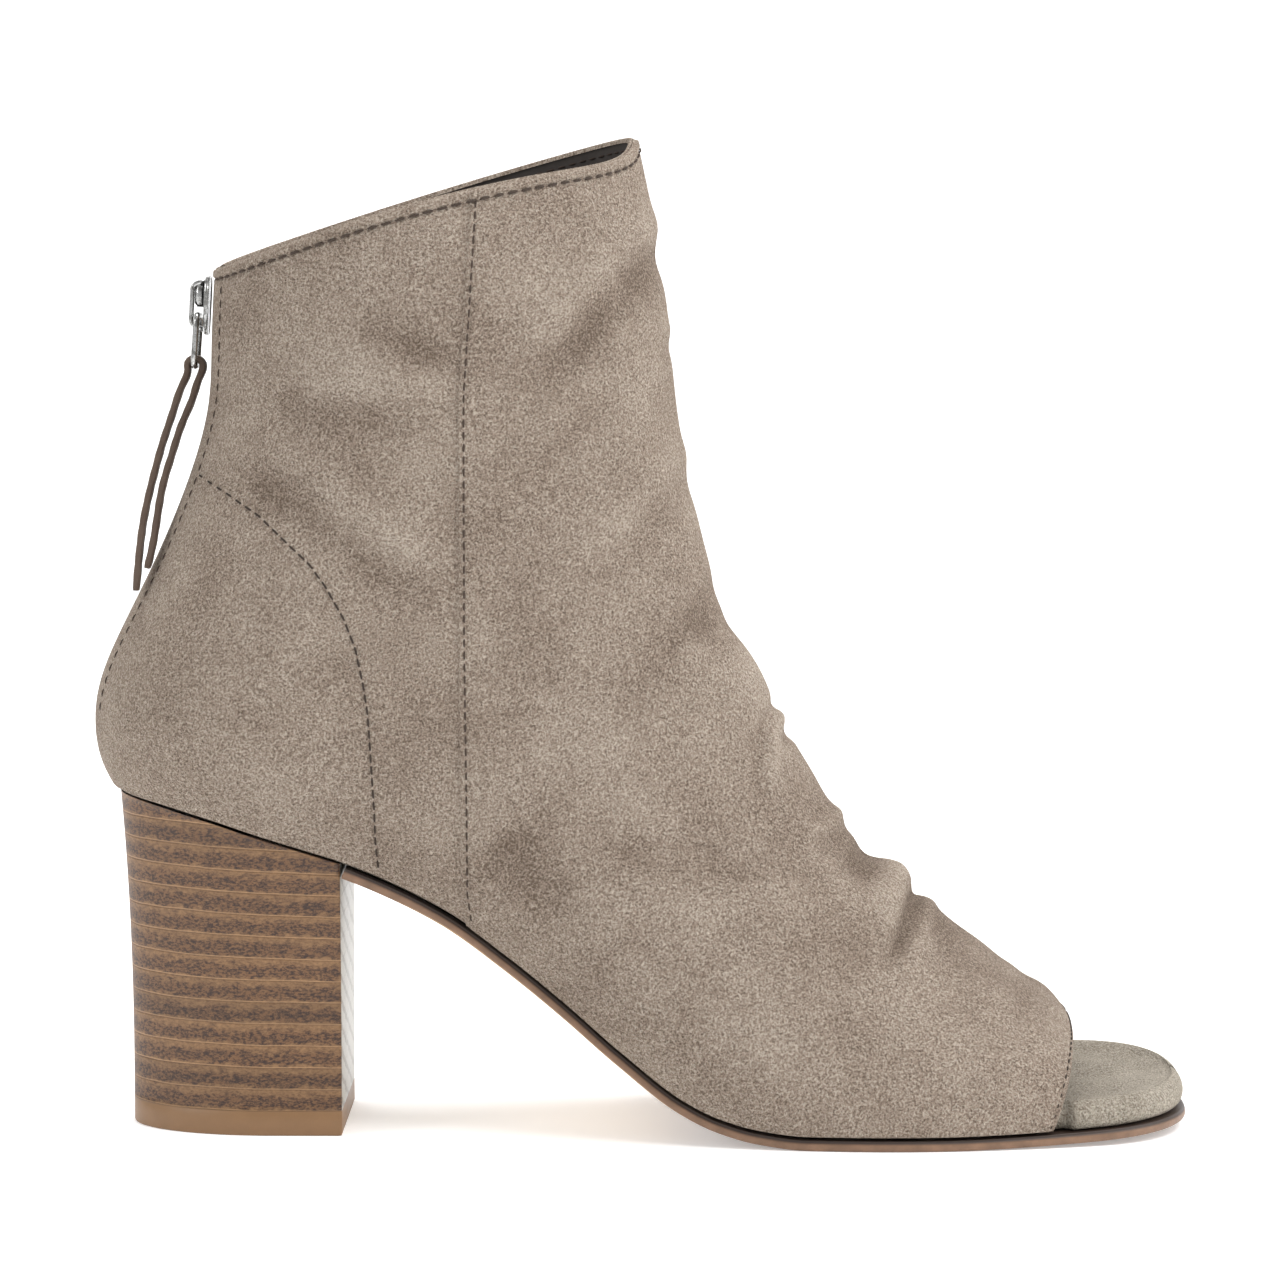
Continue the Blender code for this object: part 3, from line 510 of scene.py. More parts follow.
# Stitched grooves: distance from the edge, depth and width
COLLAR_STITCH = 0.0026
COLLAR_GROOVE = 0.00030
COLLAR_GROOVE_WIDTH = 0.00035
MOUTH_STITCH = 0.0012
MOUTH_GROOVE = 0.00022
MOUTH_GROOVE_WIDTH = 0.0003
PANEL_STITCH = 0.0015
PANEL_GROOVE = 0.00018
PANEL_GROOVE_WIDTH = 0.00035
PANEL_RISE = 0.0006
PANEL_LIFT = 0.0006
PANEL_LOW = 0.15
PANEL_FADE = 0.020
EDGE_FADE = 0.006
FEATHER_TUCK = 0.0012
QUARTER_END_ROW = 13.2
QUARTER_UNDERLAP = 0.012
# The slit narrows to nothing over SLIT_EASE rows, SLIT_PAST rows below the zip
SLIT_PAST = 0.12
SLIT_EASE = 0.3
SLIT_END_ROW = ZIP_LAST_ROW + 0.2
SLIT_PLACE_ROW = 6.5
SLIT_TURN = (0.0011, 0.0005, 0.00015)


def fine_rows(first, last, count):
    rows = np.linspace(first, last, count)
    extra = []
    if first == 0.0:
        extra += [step / COLLAR_ROW_LENGTH for step in COLLAR_STEPS]
    if last == LAST_ROW:
        extra += [LAST_ROW - step / MOUTH_ROW_LENGTH for step in COLLAR_STEPS]
    return np.unique(np.round(np.concatenate((rows, extra)), 5))


def edge_distance(places, points, side, at_row):
    """Distance of points from one end row of the upper, along their columns."""
    ends = skin(np.full(np.shape(places), float(at_row)), places, side)
    return np.linalg.norm(points - ends, axis=-1)


def edge_form(collar, mouth):
    """Turned edges at the collar and the toe: a soft roll with a stitched groove under it."""
    rolled = smooth(collar / COLLAR_ROLL)
    swell = 1.0 - smooth((collar - COLLAR_SWELL_END) / COLLAR_SWELL_EASE)
    roll = -COLLAR_DROP * (1.0 - rolled) + COLLAR_SWELL * rolled * swell
    turn = -MOUTH_DROP * (1.0 - smooth(mouth / MOUTH_ROLL))
    return (roll - COLLAR_GROOVE * bell(collar, COLLAR_GROOVE_WIDTH, COLLAR_STITCH)
            + turn - MOUTH_GROOVE * bell(mouth, MOUTH_GROOVE_WIDTH, MOUTH_STITCH))


def face_grid(rows, places, side):
    """Points of the outer face at a grid of places, and the ways out there."""
    grid_rows = np.repeat(rows[:, None], places.shape[1], axis=1)
    return skin(grid_rows, places, side), skin_out(grid_rows, places, side)


def panel_half(rows, starts, ends, side, count, form):
    """Grid of one side of a panel: its points and the height of its creases."""
    found = np.array([places_at(row, side, start, end, count)
                      for row, start, end in zip(rows, starts, ends)])
    places, distance = found[:, 0], found[:, 1]
    base, out = face_grid(rows, places, side)
    collar = edge_distance(places, base, side, 0.0)
    mouth = edge_distance(places, base, side, LAST_ROW)
    creases = relief(base, side) * smooth(collar / EDGE_FADE) * (0.35 + 0.65 * smooth(mouth / EDGE_FADE))
    feather = base[..., 2] - feather_z(base[..., 0])
    creases = creases * smooth((feather + 0.001) / 0.008)
    tuck = -FEATHER_TUCK * (1.0 - smooth((feather + 0.0002) / 0.0012))
    lift = creases + edge_form(collar, mouth) + (form(distance) + tuck)
    return base + out * lift[..., None], creases


def panel_fade(distance):
    """How the front panel's raised edge sinks back, by the distance from it."""
    return PANEL_LOW + (1.0 - PANEL_LOW) * np.exp(-distance / PANEL_FADE)


def front_form(distance):
    """The front panel laps the back quarter: its cut edge rises, with a groove at its stitches."""
    rise = PANEL_LIFT * smooth(distance / PANEL_RISE) * panel_fade(distance)
    return rise - PANEL_GROOVE * bell(distance, PANEL_GROOVE_WIDTH, PANEL_STITCH)


def join_halves(left, right):
    """One grid from two sides that meet at the front's middle line."""
    return np.concatenate((left, right[:, ::-1][:, 1:]), axis=1)


def grid_piece(name, points, material, flip=False, crease=None):
    faces = grid_faces(points.shape[0], points.shape[1], flip)
    # The crease heights go to the suede shader, which paints shade into the troughs and a highlight onto the
    # ridges.
    layers = {} if crease is None else {"crease": crease.ravel() * 1000.0}
    return mesh_piece(name, points.reshape(-1, 3), faces, material, layers)


def make_front_panel(material):
    rows = fine_rows(0.0, LAST_ROW, 320)
    halves = []
    for side in (-1, 1):
        starts = [seam_place(row, side) for row in rows]
        halves.append(panel_half(rows, starts, np.ones(len(rows)), side, 110, front_form))
    points, crease = (join_halves(left, right) for left, right in zip(*halves))
    return grid_piece("upper_front_panel", points, material, False, crease)


def slit_open(rows):
    """How open the zip's slit is at each row: it closes to nothing under the chain."""
    return smooth((ZIP_LAST_ROW + SLIT_PAST - rows) / SLIT_EASE)


def slit_places(rows, side, clear=0.0):
    """Places where the sections start beside the slit."""
    reach = ZIP_SLIT / 2 * slit_open(rows) + clear
    return np.where(rows < SLIT_END_ROW, back_place(np.minimum(rows, SLIT_PLACE_ROW), reach, side), 0.0)


def make_back_quarter(material, side):
    rows = fine_rows(0.0, QUARTER_END_ROW, 240)
    ends = np.array([seam_place(row, side) for row in rows])
    rows, ends = rows[ends > 0.0], ends[ends > 0.0]
    starts = slit_places(rows, side)
    under = np.minimum(ends + QUARTER_UNDERLAP, 1.0)
    points, crease = panel_half(rows, starts, under, side, 70, lambda distance: 0.0)
    for k, drop in enumerate(SLIT_TURN):
        points[:, k] -= skin_out(rows, starts, side) * (drop * slit_open(rows))[:, None]
    name = "upper_back_quarter_" + ("outer" if side < 0 else "inner")
    return grid_piece(name, points, material, side > 0, crease)


LINING_DEPTH = 0.0016
LINING_CLEAR = 0.0002


def make_lining(material):
    """The inside of the boot, joined to the turned edges at the collar and the toe."""
    rows = np.unique(np.concatenate((np.linspace(0.0, LAST_ROW, 150), (0.01, 0.02, 0.04, 17.98))))
    grids = []
    for side in (-1, 1):
        starts = slit_places(rows, side, LINING_CLEAR)
        places = starts[:, None] + (1.0 - starts[:, None]) * np.linspace(0.0, 1.0, 70)[None, :]
        base, out = face_grid(rows, places, side)
        creases = relief(base, side) * smooth(edge_distance(places, base, side, 0.0) / EDGE_FADE)
        grids.append(base - out * (LINING_DEPTH - np.minimum(creases, 0.0))[..., None])
    return grid_piece("lining", join_halves(*grids), material, True)


def make_rim(name, row, depths, material):
    """Top of a turned edge, from the outer face over to the lining."""
    at_collar = row == 0.0
    inner = 0.02 if at_collar else -0.02
    grids = []
    for side in (-1, 1):
        start = float(back_place(np.array([row]), ZIP_SLIT / 2, side)[0]) if at_collar else 0.0
        places = start + (1.0 - start) * np.linspace(0.0, 1.0, 120)
        rows = np.full(places.shape, row)
        base, out = skin(rows, places, side), skin_out(rows, places, side)
        away = unit(base - skin(rows + inner, places, side))
        grids.append(np.stack([base - out * depth + away * tip for depth, tip in depths]))
    points = join_halves(*grids)
    return grid_piece(name, points, material, at_collar, np.zeros(points.shape[:2]))


def closed_faces(rounds, count, base=0, flip=False):
    """Faces of a row of equal rings of points, with a cap at both ends."""
    faces = grid_faces(rounds, count, flip, True)
    faces += [tuple(reversed(range(count))), tuple((rounds - 1) * count + k for k in range(count))]
    return [tuple(base + k for k in face) for face in faces]


def tree_of(*objects):
    points, faces = [], []
    for obj in objects:
        base = len(points)
        points += [v.co.copy() for v in obj.data.vertices]
        faces += [tuple(base + k for k in p.vertices) for p in obj.data.polygons]
    return BVHTree.FromPolygons(points, faces)


def on_face(tree, x, z, side):
    """Point and way out of the outer (or inner) face at a place of the side view."""
    origin = Vector((x, side * 0.2, z))
    hit, normal, _, _ = tree.ray_cast(origin, Vector((0, -side, 0)))
    if hit is None:
        return None
    if normal.y * side < 0:
        normal = -normal
    return np.array(hit), np.array(normal)


STITCH_SIDES = 6
STITCH_ARCH = 0.4
STITCH_ROUNDS = ((-1.0, 0.15), (-0.8, 0.8), (-0.3, 1.0), (0.3, 1.0), (0.8, 0.8), (1.0, 0.15))


def stitch_mesh(name, seats, material, length, thick):
    """Short threads along a row: seats are (point, way out, way along)."""
    points, faces = [], []
    turns = [2 * math.pi * k / STITCH_SIDES for k in range(STITCH_SIDES)]
    for seat, out, along in seats:
        out = unit(out)
        along = unit(along - out * float(np.dot(along, out)))
        across = np.cross(along, out)
        faces += closed_faces(len(STITCH_ROUNDS), STITCH_SIDES, len(points), True)
        for reach, fat in STITCH_ROUNDS:
            arch = STITCH_ARCH * thick * (1.0 - 1.6 * abs(reach) ** 2)
            middle = seat + along * (reach * length / 2) + out * arch
            points += [middle + (across * math.cos(turn) + out * math.sin(turn)) * fat * thick / 2
                       for turn in turns]
    return mesh_piece(name, points, faces, material)


def line_seats(tree, line, side, offset=0.0):
    """Stitch seats at even steps along a line of the side view."""
    points = np.array(line, float) / 1000.0
    run = run_along(points)
    found = []
    for distance in np.arange(0.4 * SEAM_PITCH, run[-1], SEAM_PITCH / 2):
        x, z = at_run(distance, run, points)
        hit = on_face(tree, x + offset, z, side)
        if hit is not None:
            found.append(hit)
    return [(here[0], here[1], after[0] - before[0])
            for before, here, after in zip(found[0::2], found[1::2], found[2::2])]


def node_shader(name):
    made = bpy.data.materials.new(name)
    made.use_nodes = True
    tree = made.node_tree
    return made, tree, tree.nodes["Principled BSDF"]


def feed(tree, node, inputs):
    """Links sockets and sets plain values on a node's inputs."""
    for key, value in inputs.items():
        if isinstance(value, bpy.types.NodeSocket):
            tree.links.new(value, node.inputs[key])
        else:
            node.inputs[key].default_value = value


def add_node(tree, kind, inputs=None, **values):
    node = tree.nodes.new(kind)
    for key, value in values.items():
        setattr(node, key, value)
    feed(tree, node, inputs or {})
    return node


def object_place(tree):
    return add_node(tree, "ShaderNodeTexCoord").outputs["Object"]


def attribute(tree, name):
    return add_node(tree, "ShaderNodeAttribute", attribute_name=name).outputs["Fac"]


def noise(tree, where, scale, detail=3.0, rough=0.6):
    node = add_node(tree, "ShaderNodeTexNoise", {"Vector": where, "Scale": scale, "Detail": detail,
                                                 "Roughness": rough})
    return node.outputs["Fac"]


def ramp(tree, value, low, high, to_low=0.0, to_high=1.0):
    node = add_node(tree, "ShaderNodeMapRange", {"Value": value, "From Min": low, "From Max": high,
                                                 "To Min": to_low, "To Max": to_high})
    return node.outputs["Result"]


def maths(tree, operation, a, b=0.0):
    return add_node(tree, "ShaderNodeMath", {0: a, 1: b}, operation=operation).outputs[0]


def mix_colour(tree, share, a, b, blend="MIX"):
    node = add_node(tree, "ShaderNodeMix", {}, data_type="RGBA", blend_type=blend)
    feed(tree, node, {0: share, 6: a, 7: b})
    return node.outputs[2]


def bump(tree, shader, height, distance, strength=1.0, after=None):
    inputs = {"Height": height, "Distance": distance, "Strength": strength}
    if after is not None:
        inputs["Normal"] = after
    normal = add_node(tree, "ShaderNodeBump", inputs).outputs["Normal"]
    feed(tree, shader, {"Normal": normal})
    return normal


def linear(red, green, blue):
    """Shader colour from screen values of 0 to 255."""
    return tuple(((v / 255 + 0.055) / 1.055) ** 2.4 for v in (red, green, blue)) + (1.0,)


def suede_material(name, base, light, dark):
    """Napped suede: soft clouds where its pile lies over, fine grain, painted shade in the crease troughs
    and a painted highlight on their ridges.
    """
    made, tree, shader = node_shader(name)
    where = object_place(tree)
    grain = noise(tree, where, 2000.0, 3.0, 0.65)
    fine = noise(tree, where, 4200.0, 2.0)
    nap_and_crease_shade = ramp(tree, noise(tree, where, 42.0, 3.0, 0.5), 0.32, 0.68, -0.24, 0.24)
    # The crease heights darken the troughs as painted shade and lighten the ridges as a painted highlight.
    for value, reach, strength in ((noise(tree, where, 130.0), (0.3, 0.7), 0.10),
                                   (attribute(tree, "crease"), (-1.8, 1.8), 0.60),
                                   (grain, (0.34, 0.66), 0.90), (fine, (0.36, 0.64), 0.22)):
        nap_and_crease_shade = maths(tree, "ADD", nap_and_crease_shade, ramp(tree, value, *reach, -strength, strength))
    darker = mix_colour(tree, ramp(tree, nap_and_crease_shade, -1.0, 0.0, 1.0, 0.0), base, dark)
    colour = mix_colour(tree, ramp(tree, nap_and_crease_shade, 0.0, 1.0), darker, light)
    feed(tree, shader, {"Base Color": colour, "Roughness": 0.95, "Specular IOR Level": 0.15,
                        "Sheen Weight": 0.25, "Sheen Roughness": 0.5, "Sheen Tint": light})
    first = bump(tree, shader, grain, 0.0018)
    bump(tree, shader, fine, 0.00025, 0.8, first)
    return made


def plain_material(name, colour, roughness, grain_scale, grain_depth, spread):
    """A smooth material with a fine grain and a little spread in its colour."""
    made, tree, shader = node_shader(name)
    where = object_place(tree)
    patch = ramp(tree, noise(tree, where, 220.0, 4.0), 0.3, 0.7)
    darker, lighter = (tuple(v * part for v in colour[:3]) + (1.0,) for part in (1.0 - spread, 1.0 + spread))
    feed(tree, shader, {"Base Color": mix_colour(tree, patch, darker, lighter), "Roughness": roughness})
    bump(tree, shader, noise(tree, where, grain_scale), grain_depth, 0.7)
    return made


def dress(piece, node, body="boot"):
    """Puts a finished piece on its body, in place of a node of the CAD."""
    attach(piece, body)
    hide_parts(node)


SUEDE = suede_material("suede_nap", linear(164, 147, 132), linear(206, 193, 178), linear(108, 92, 79))
FOOTBED_SUEDE = suede_material("footbed_nap", linear(176, 166, 151), linear(210, 201, 187),
                               linear(124, 113, 99))
LINING = plain_material("lining_leather", linear(62, 56, 52), 0.8, 900.0, 0.0002, 0.12)
THREAD = plain_material("thread", linear(62, 50, 42), 0.9, 3000.0, 0.0001, 0.1)
DARK_THREAD = plain_material("counter_thread", linear(52, 42, 35), 0.9, 3000.0, 0.0001, 0.1)

front_panel = make_front_panel(SUEDE)
quarters = [make_back_quarter(SUEDE, side) for side in (-1, 1)]
lining = make_lining(LINING)
RIM_OVER = ((0.0011, 0.00018), (0.0014, 0.00020), (0.0017, 0.00008), (0.0021, -0.0008))
collar_rim = make_rim("collar_rim", 0.0, ((0.0009, 0.0),) + RIM_OVER, SUEDE)
mouth_rim = make_rim("toe_mouth_rim", float(LAST_ROW), ((0.0008, 0.0),) + RIM_OVER, SUEDE)
for piece in [front_panel, collar_rim, mouth_rim, lining] + quarters:
    dress(piece, "upper")


SEAM_PITCH = 0.0026
COLLAR_PITCH = 0.0031
MOUTH_PITCH = 0.0024
ZIP_PITCH = 0.0030
ZIP_STITCH = 0.0110
ZIP_STITCH_ROW = 0.25


def rows_at(distance, places, side, at_row):
    """Rows that lie a set distance in from one end row of the upper."""
    ahead = 0.02 if at_row == 0.0 else -0.02
    ends = np.full(places.shape, float(at_row))
    length = np.linalg.norm(skin(ends + ahead, places, side) - skin(ends, places, side), axis=-1)
    return ends + ahead * distance / length


def end_row_seats(distance, side, at_row, pitch, start, depth, outer=True):
    """Stitch seats beside the collar or the toe opening."""
    places = np.linspace(start, 1.0, 500)
    rows = rows_at(distance, places, side, at_row)
    points, outs = skin(rows, places, side), skin_out(rows, places, side)
    run = run_along(points)
    seats = []
    for d in np.arange(pitch / 2, run[-1] - pitch / 4, pitch):
        at, after = at_run(d, run, points), at_run(d + 0.0004, run, points)
        out = unit(at_run(d, run, outs))
        ahead = at[0] - polyline_x(at[2], SEAM_LINE)
        raised = PANEL_LIFT * panel_fade(ahead) if outer and ahead > 0.0 else 0.0
        seats.append((at + out * (depth + raised), out if outer else -out, after - at))
    return seats


def zip_row_seats(side):
    """Stitch seats beside the zip."""
    rows = np.linspace(ZIP_STITCH_ROW, ZIP_LAST_ROW + 0.1, 700)
    places = back_place(rows, ZIP_STITCH, side)
    points, outs = skin(rows, places, side), skin_out(rows, places, side)
    run = run_along(points)
    seats = []
    for d in np.arange(0.001, run[-1], ZIP_PITCH):
        k = int(np.searchsorted(run, d))
        way = points[min(k + 1, len(rows) - 1)] - points[k - 1]
        seats.append((points[k] - outs[k] * 0.00005, outs[k], way))
    return seats


def make_stitches():
    """Every row of stitches on the upper."""
    front, back = tree_of(front_panel), tree_of(*quarters)
    inside = -LINING_DEPTH - 0.0001
    for name, material, length, thick, seats_on in (
            ("side_seam_stitches", THREAD, 0.0019, 0.00042,
             lambda side: line_seats(front, SEAM_LINE[1:], side, PANEL_STITCH)),
            ("counter_stitches", DARK_THREAD, 0.0021, 0.00046,
             lambda side: line_seats(back, COUNTER_LINE, side)),
            ("collar_stitches", THREAD, 0.0023, 0.00050,
             lambda side: end_row_seats(COLLAR_STITCH, side, 0.0, COLLAR_PITCH, 0.06, 0.0)),
            ("toe_mouth_stitches", DARK_THREAD, 0.0017, 0.00045,
             lambda side: end_row_seats(MOUTH_STITCH, side, LAST_ROW, MOUTH_PITCH, 0.01, -0.0001)),
            ("collar_inside_stitches", THREAD, 0.0021, 0.00045,
             lambda side: end_row_seats(COLLAR_STITCH, side, 0.0, COLLAR_PITCH, 0.06, inside, False)),
            ("zip_stitches", THREAD, 0.0021, 0.00042, zip_row_seats)):
        piece = stitch_mesh(name, seats_on(-1) + seats_on(1), material, length, thick)
        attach(piece, "boot")


def crowded(start, end, count):
    """Places along the shoe, closer together as the outline turns across at the toe."""
    t = np.linspace(0.0, 1.0, count)
    return start + (end - start) * np.sin(np.pi / 2 * t) ** (2.0 / TOE_SQUARENESS)


def along_sole(start, count, tip_count):
    body = np.linspace(start, TOE_ROUND_FROM * LENGTH, count)
    return np.concatenate((body[:-1], crowded(body[-1], TOE_END * LENGTH - 0.000002, tip_count)))


def loft(name, rings, material, attributes=None):
    """Closes a row of equal rings of points into one piece."""
    return mesh_piece(name, rings.reshape(-1, 3), closed_faces(*rings.shape[:2]), material, attributes)


OUTSOLE_PROFILE = (
    # inset, rise
    (0.0012, 0.00), (0.0006, 0.02), (0.0002, 0.12), (0.0, 0.30), (0.0, 0.60), (0.0001, 0.78),
    (0.0004, 0.88), (0.0003, 0.95), (0.0007, 1.00),
)


def make_outsole(material):
    """Thin leather sole, its lower edge broken and its upper edge set back, where its material paints a dark
    shadow line under the upper.
    """
    start = HEEL_LENGTH / 2 + GAP
    x = along_sole(start, 130, 60)
    up_x, up_z = sole_up(x)
    rings, heights = [], []
    for side, profile in ((-1, OUTSOLE_PROFILE), (1, OUTSOLE_PROFILE[::-1])):
        for inset, rise in profile:
            px, py = plan_point(x, side, inset - OUTSOLE_LIP)
            lift = rise * OUTSOLE_THICK
            px = np.maximum(px, start) + up_x * lift
            rings.append(np.stack((px, py, sole_z(x) + up_z * lift), axis=-1))
            heights.append(np.full(x.shape, rise))
    rings = np.stack(rings, axis=1)
    return loft("outsole_edge_and_face", rings, material, {"rise": np.stack(heights, axis=1).ravel()})


def rim_height(x, y):
    """Height of the footbed's rim: thin inside the boot, padded where the toe shows."""
    middle = (FOOTBED_RIM_LATERAL + FOOTBED_RIM_MEDIAL) / 2
    toe = middle + (FOOTBED_RIM_MEDIAL - FOOTBED_RIM_LATERAL) * y / BALL_WIDTH
    start, end = ARCHES[-4][0] * LENGTH, ARCHES[-1][0] * LENGTH
    t = smooth((x - start) / (end - start))
    return FOOTBED_THICK + (toe - FOOTBED_THICK) * t


# Soft dents in the padded toe of the footbed, seen from above, in millimetres
FOOTBED_DENTS = (
    # lift, width, points: x, y
    (-0.9, 3.6, ((180.0, 10.0), (187.0, 5.0), (195.0, 1.0), (201.0, 6.0))),
    (0.5, 3.2, ((184.0, -6.0), (193.0, -10.0), (200.0, -8.0))),
    (-0.5, 3.0, ((196.0, 16.0), (201.0, 20.0))),
    (0.4, 3.5, ((186.0, 20.0), (193.0, 14.0))),
)
FOOTBED_NOSE = 0.004
FOOTBED_ROUND = 0.0027
FOOTBED_TURN = 80.0
FOOTBED_BOWL_EDGE = 0.12


def make_footbed(material):
    """Padded footbed wrapped in suede, with round sides and a shallow dent at the toe."""
    start = HEEL_END * LENGTH + 0.0001
    nose = start + FOOTBED_NOSE
    mouth = ARCHES[-1][1] * LENGTH - FOOTBED_TUCK
    x = np.concatenate((np.linspace(start, nose, 12)[:-1], along_sole(nose, 150, 90)))
    up_x, up_z = sole_up(x)
    inset = (WALL + 2 * GAP) * (1.0 - smooth((x - mouth) / 0.0012))
    turns = np.radians(np.linspace(-FOOTBED_TURN, FOOTBED_TURN, 15))
    sides = {}
    for side in (-1, 1):
        rim = rim_height(x, side * edge(x, side))
        corner = np.minimum(FOOTBED_ROUND, rim * 0.42)
        sides[side] = []
        for turn in turns:
            px, py = plan_point(x, side, inset + corner * (1.0 - math.cos(turn)))
            lift = rim * (0.5 + 0.5 * math.sin(turn) / math.sin(turns[-1]))
            sides[side].append(np.stack((px + up_x * lift, py, feather_z(x) + up_z * lift), axis=-1))
    left, right = sides[-1][-1], sides[1][-1]
    across = []
    for share in np.linspace(0.0, 1.0, 42)[1:-1]:
        point = left + (right - left) * share
        bowl = FOOTBED_DISH * end_round(x) * (1.0 - (2 * share - 1.0) ** 4)
        lift = -bowl * smooth(min(share, 1.0 - share) / FOOTBED_BOWL_EDGE)
        for height, width, line in FOOTBED_DENTS:
            signed, _ = along_line(point[:, 0], point[:, 1], line)
            lift = lift + height / 1000.0 * bell(signed, width / 1000.0) * smooth(end_round(x) / 0.5)
        across.append(point + np.stack((up_x, 0 * up_x, up_z), axis=-1) * lift[:, None])
    rings = np.stack(sides[-1] + across + sides[1][::-1], axis=1)
    return loft("footbed_wrapped", rings, material, {"crease": np.zeros(rings.shape[:2]).ravel()})


HEEL_CORNER = 0.0005


def heel_outline(level, steps=60):
    """U shaped plan of the heel: level is 0 at the floor and 1 at the seat."""
    ease = level ** HEEL_FLARE
    breast = HEEL_LENGTH / 2
    seat_half = float(edge(np.array(breast), -1)) - HEEL_SEAT_INSET
    half = HEEL_TIP_WIDTH / 2 + (seat_half - HEEL_TIP_WIDTH / 2) * ease
    back = -HEEL_LENGTH / 2 + (HEEL_END * LENGTH + HEEL_SEAT_INSET + HEEL_LENGTH / 2) * ease
    straight_to = breast - HEEL_STRAIGHT
    cut = 0.3 * HEEL_CORNER
    points = [(breast, -half + HEEL_CORNER), (breast - cut, -half + cut),
              (breast - HEEL_CORNER, -half)]
    for k in range(steps + 1):
        turn = math.pi * k / steps
        points.append((straight_to - (straight_to - back) * math.sin(turn), -half * math.cos(turn)))
    points += [(x, -y) for x, y in reversed(points[:3])]
    return np.array(points)


def make_heel_block(material):
    low = TOP_PIECE_THICK
    rings = []
    for share in np.linspace(0.0, 1.0, 50):
        plan = heel_outline(share)
        height = low + (feather_z(plan[:, 0]) - 0.00005 - low) * share
        rings.append(np.column_stack((plan, height)))
    rings = np.stack(rings)
    breast = np.zeros(rings.shape[:2])
    breast[:, (0, -1)] = 1.0
    return loft("heel_stack", rings, material, {"breast": breast.ravel()})


TOP_PIECE_PROFILE = (
    # inset, height
    (0.0006, 0.0), (0.0002, 0.0001), (0.0, 0.0005), (0.0, 0.0030), (0.0, 0.0053),
    (0.0003, TOP_PIECE_THICK),
)


def make_top_piece(material):
    plan = heel_outline(0.0)
    rings = [np.column_stack((plan - unit(plan) * inset, np.full(len(plan), height)))
             for inset, height in TOP_PIECE_PROFILE]
    return loft("heel_tip", np.stack(rings), material)


def outsole_material():
    """Brown leather edge with a painted shadow line along its top under the upper, and a painted highlight
    along its lower edge at the waist.
    """
    made, tree, shader = node_shader("sole_edge")
    where = object_place(tree)
    rise = attribute(tree, "rise")
    patch = ramp(tree, noise(tree, where, 260.0, 4.0), 0.3, 0.7)
    brown = mix_colour(tree, patch, linear(104, 78, 58), linear(128, 97, 74))
    # The top of the edge is painted dark as the shadow under the upper's overhang.
    dark = mix_colour(tree, ramp(tree, rise, 0.62, 0.80), brown, linear(52, 38, 30))
    place_x = add_node(tree, "ShaderNodeSeparateXYZ", {"Vector": where}).outputs["X"]
    # A pale band along the lower edge at the waist is a painted highlight on its bevel.
    waist = maths(tree, "MULTIPLY", ramp(tree, place_x, 0.034, 0.046), ramp(tree, place_x, 0.100, 0.086))
    low = maths(tree, "MULTIPLY", ramp(tree, rise, 0.20, 0.06), waist)
    colour = mix_colour(tree, low, dark, linear(196, 170, 136))
    feed(tree, shader, {"Base Color": colour, "Roughness": 0.5})
    bump(tree, shader, noise(tree, where, 1400.0), 0.0001, 0.6)
    return made


LAYER_START = 0.0056
LAYER_THICK = 0.00482
LAYER_FAN = 0.75


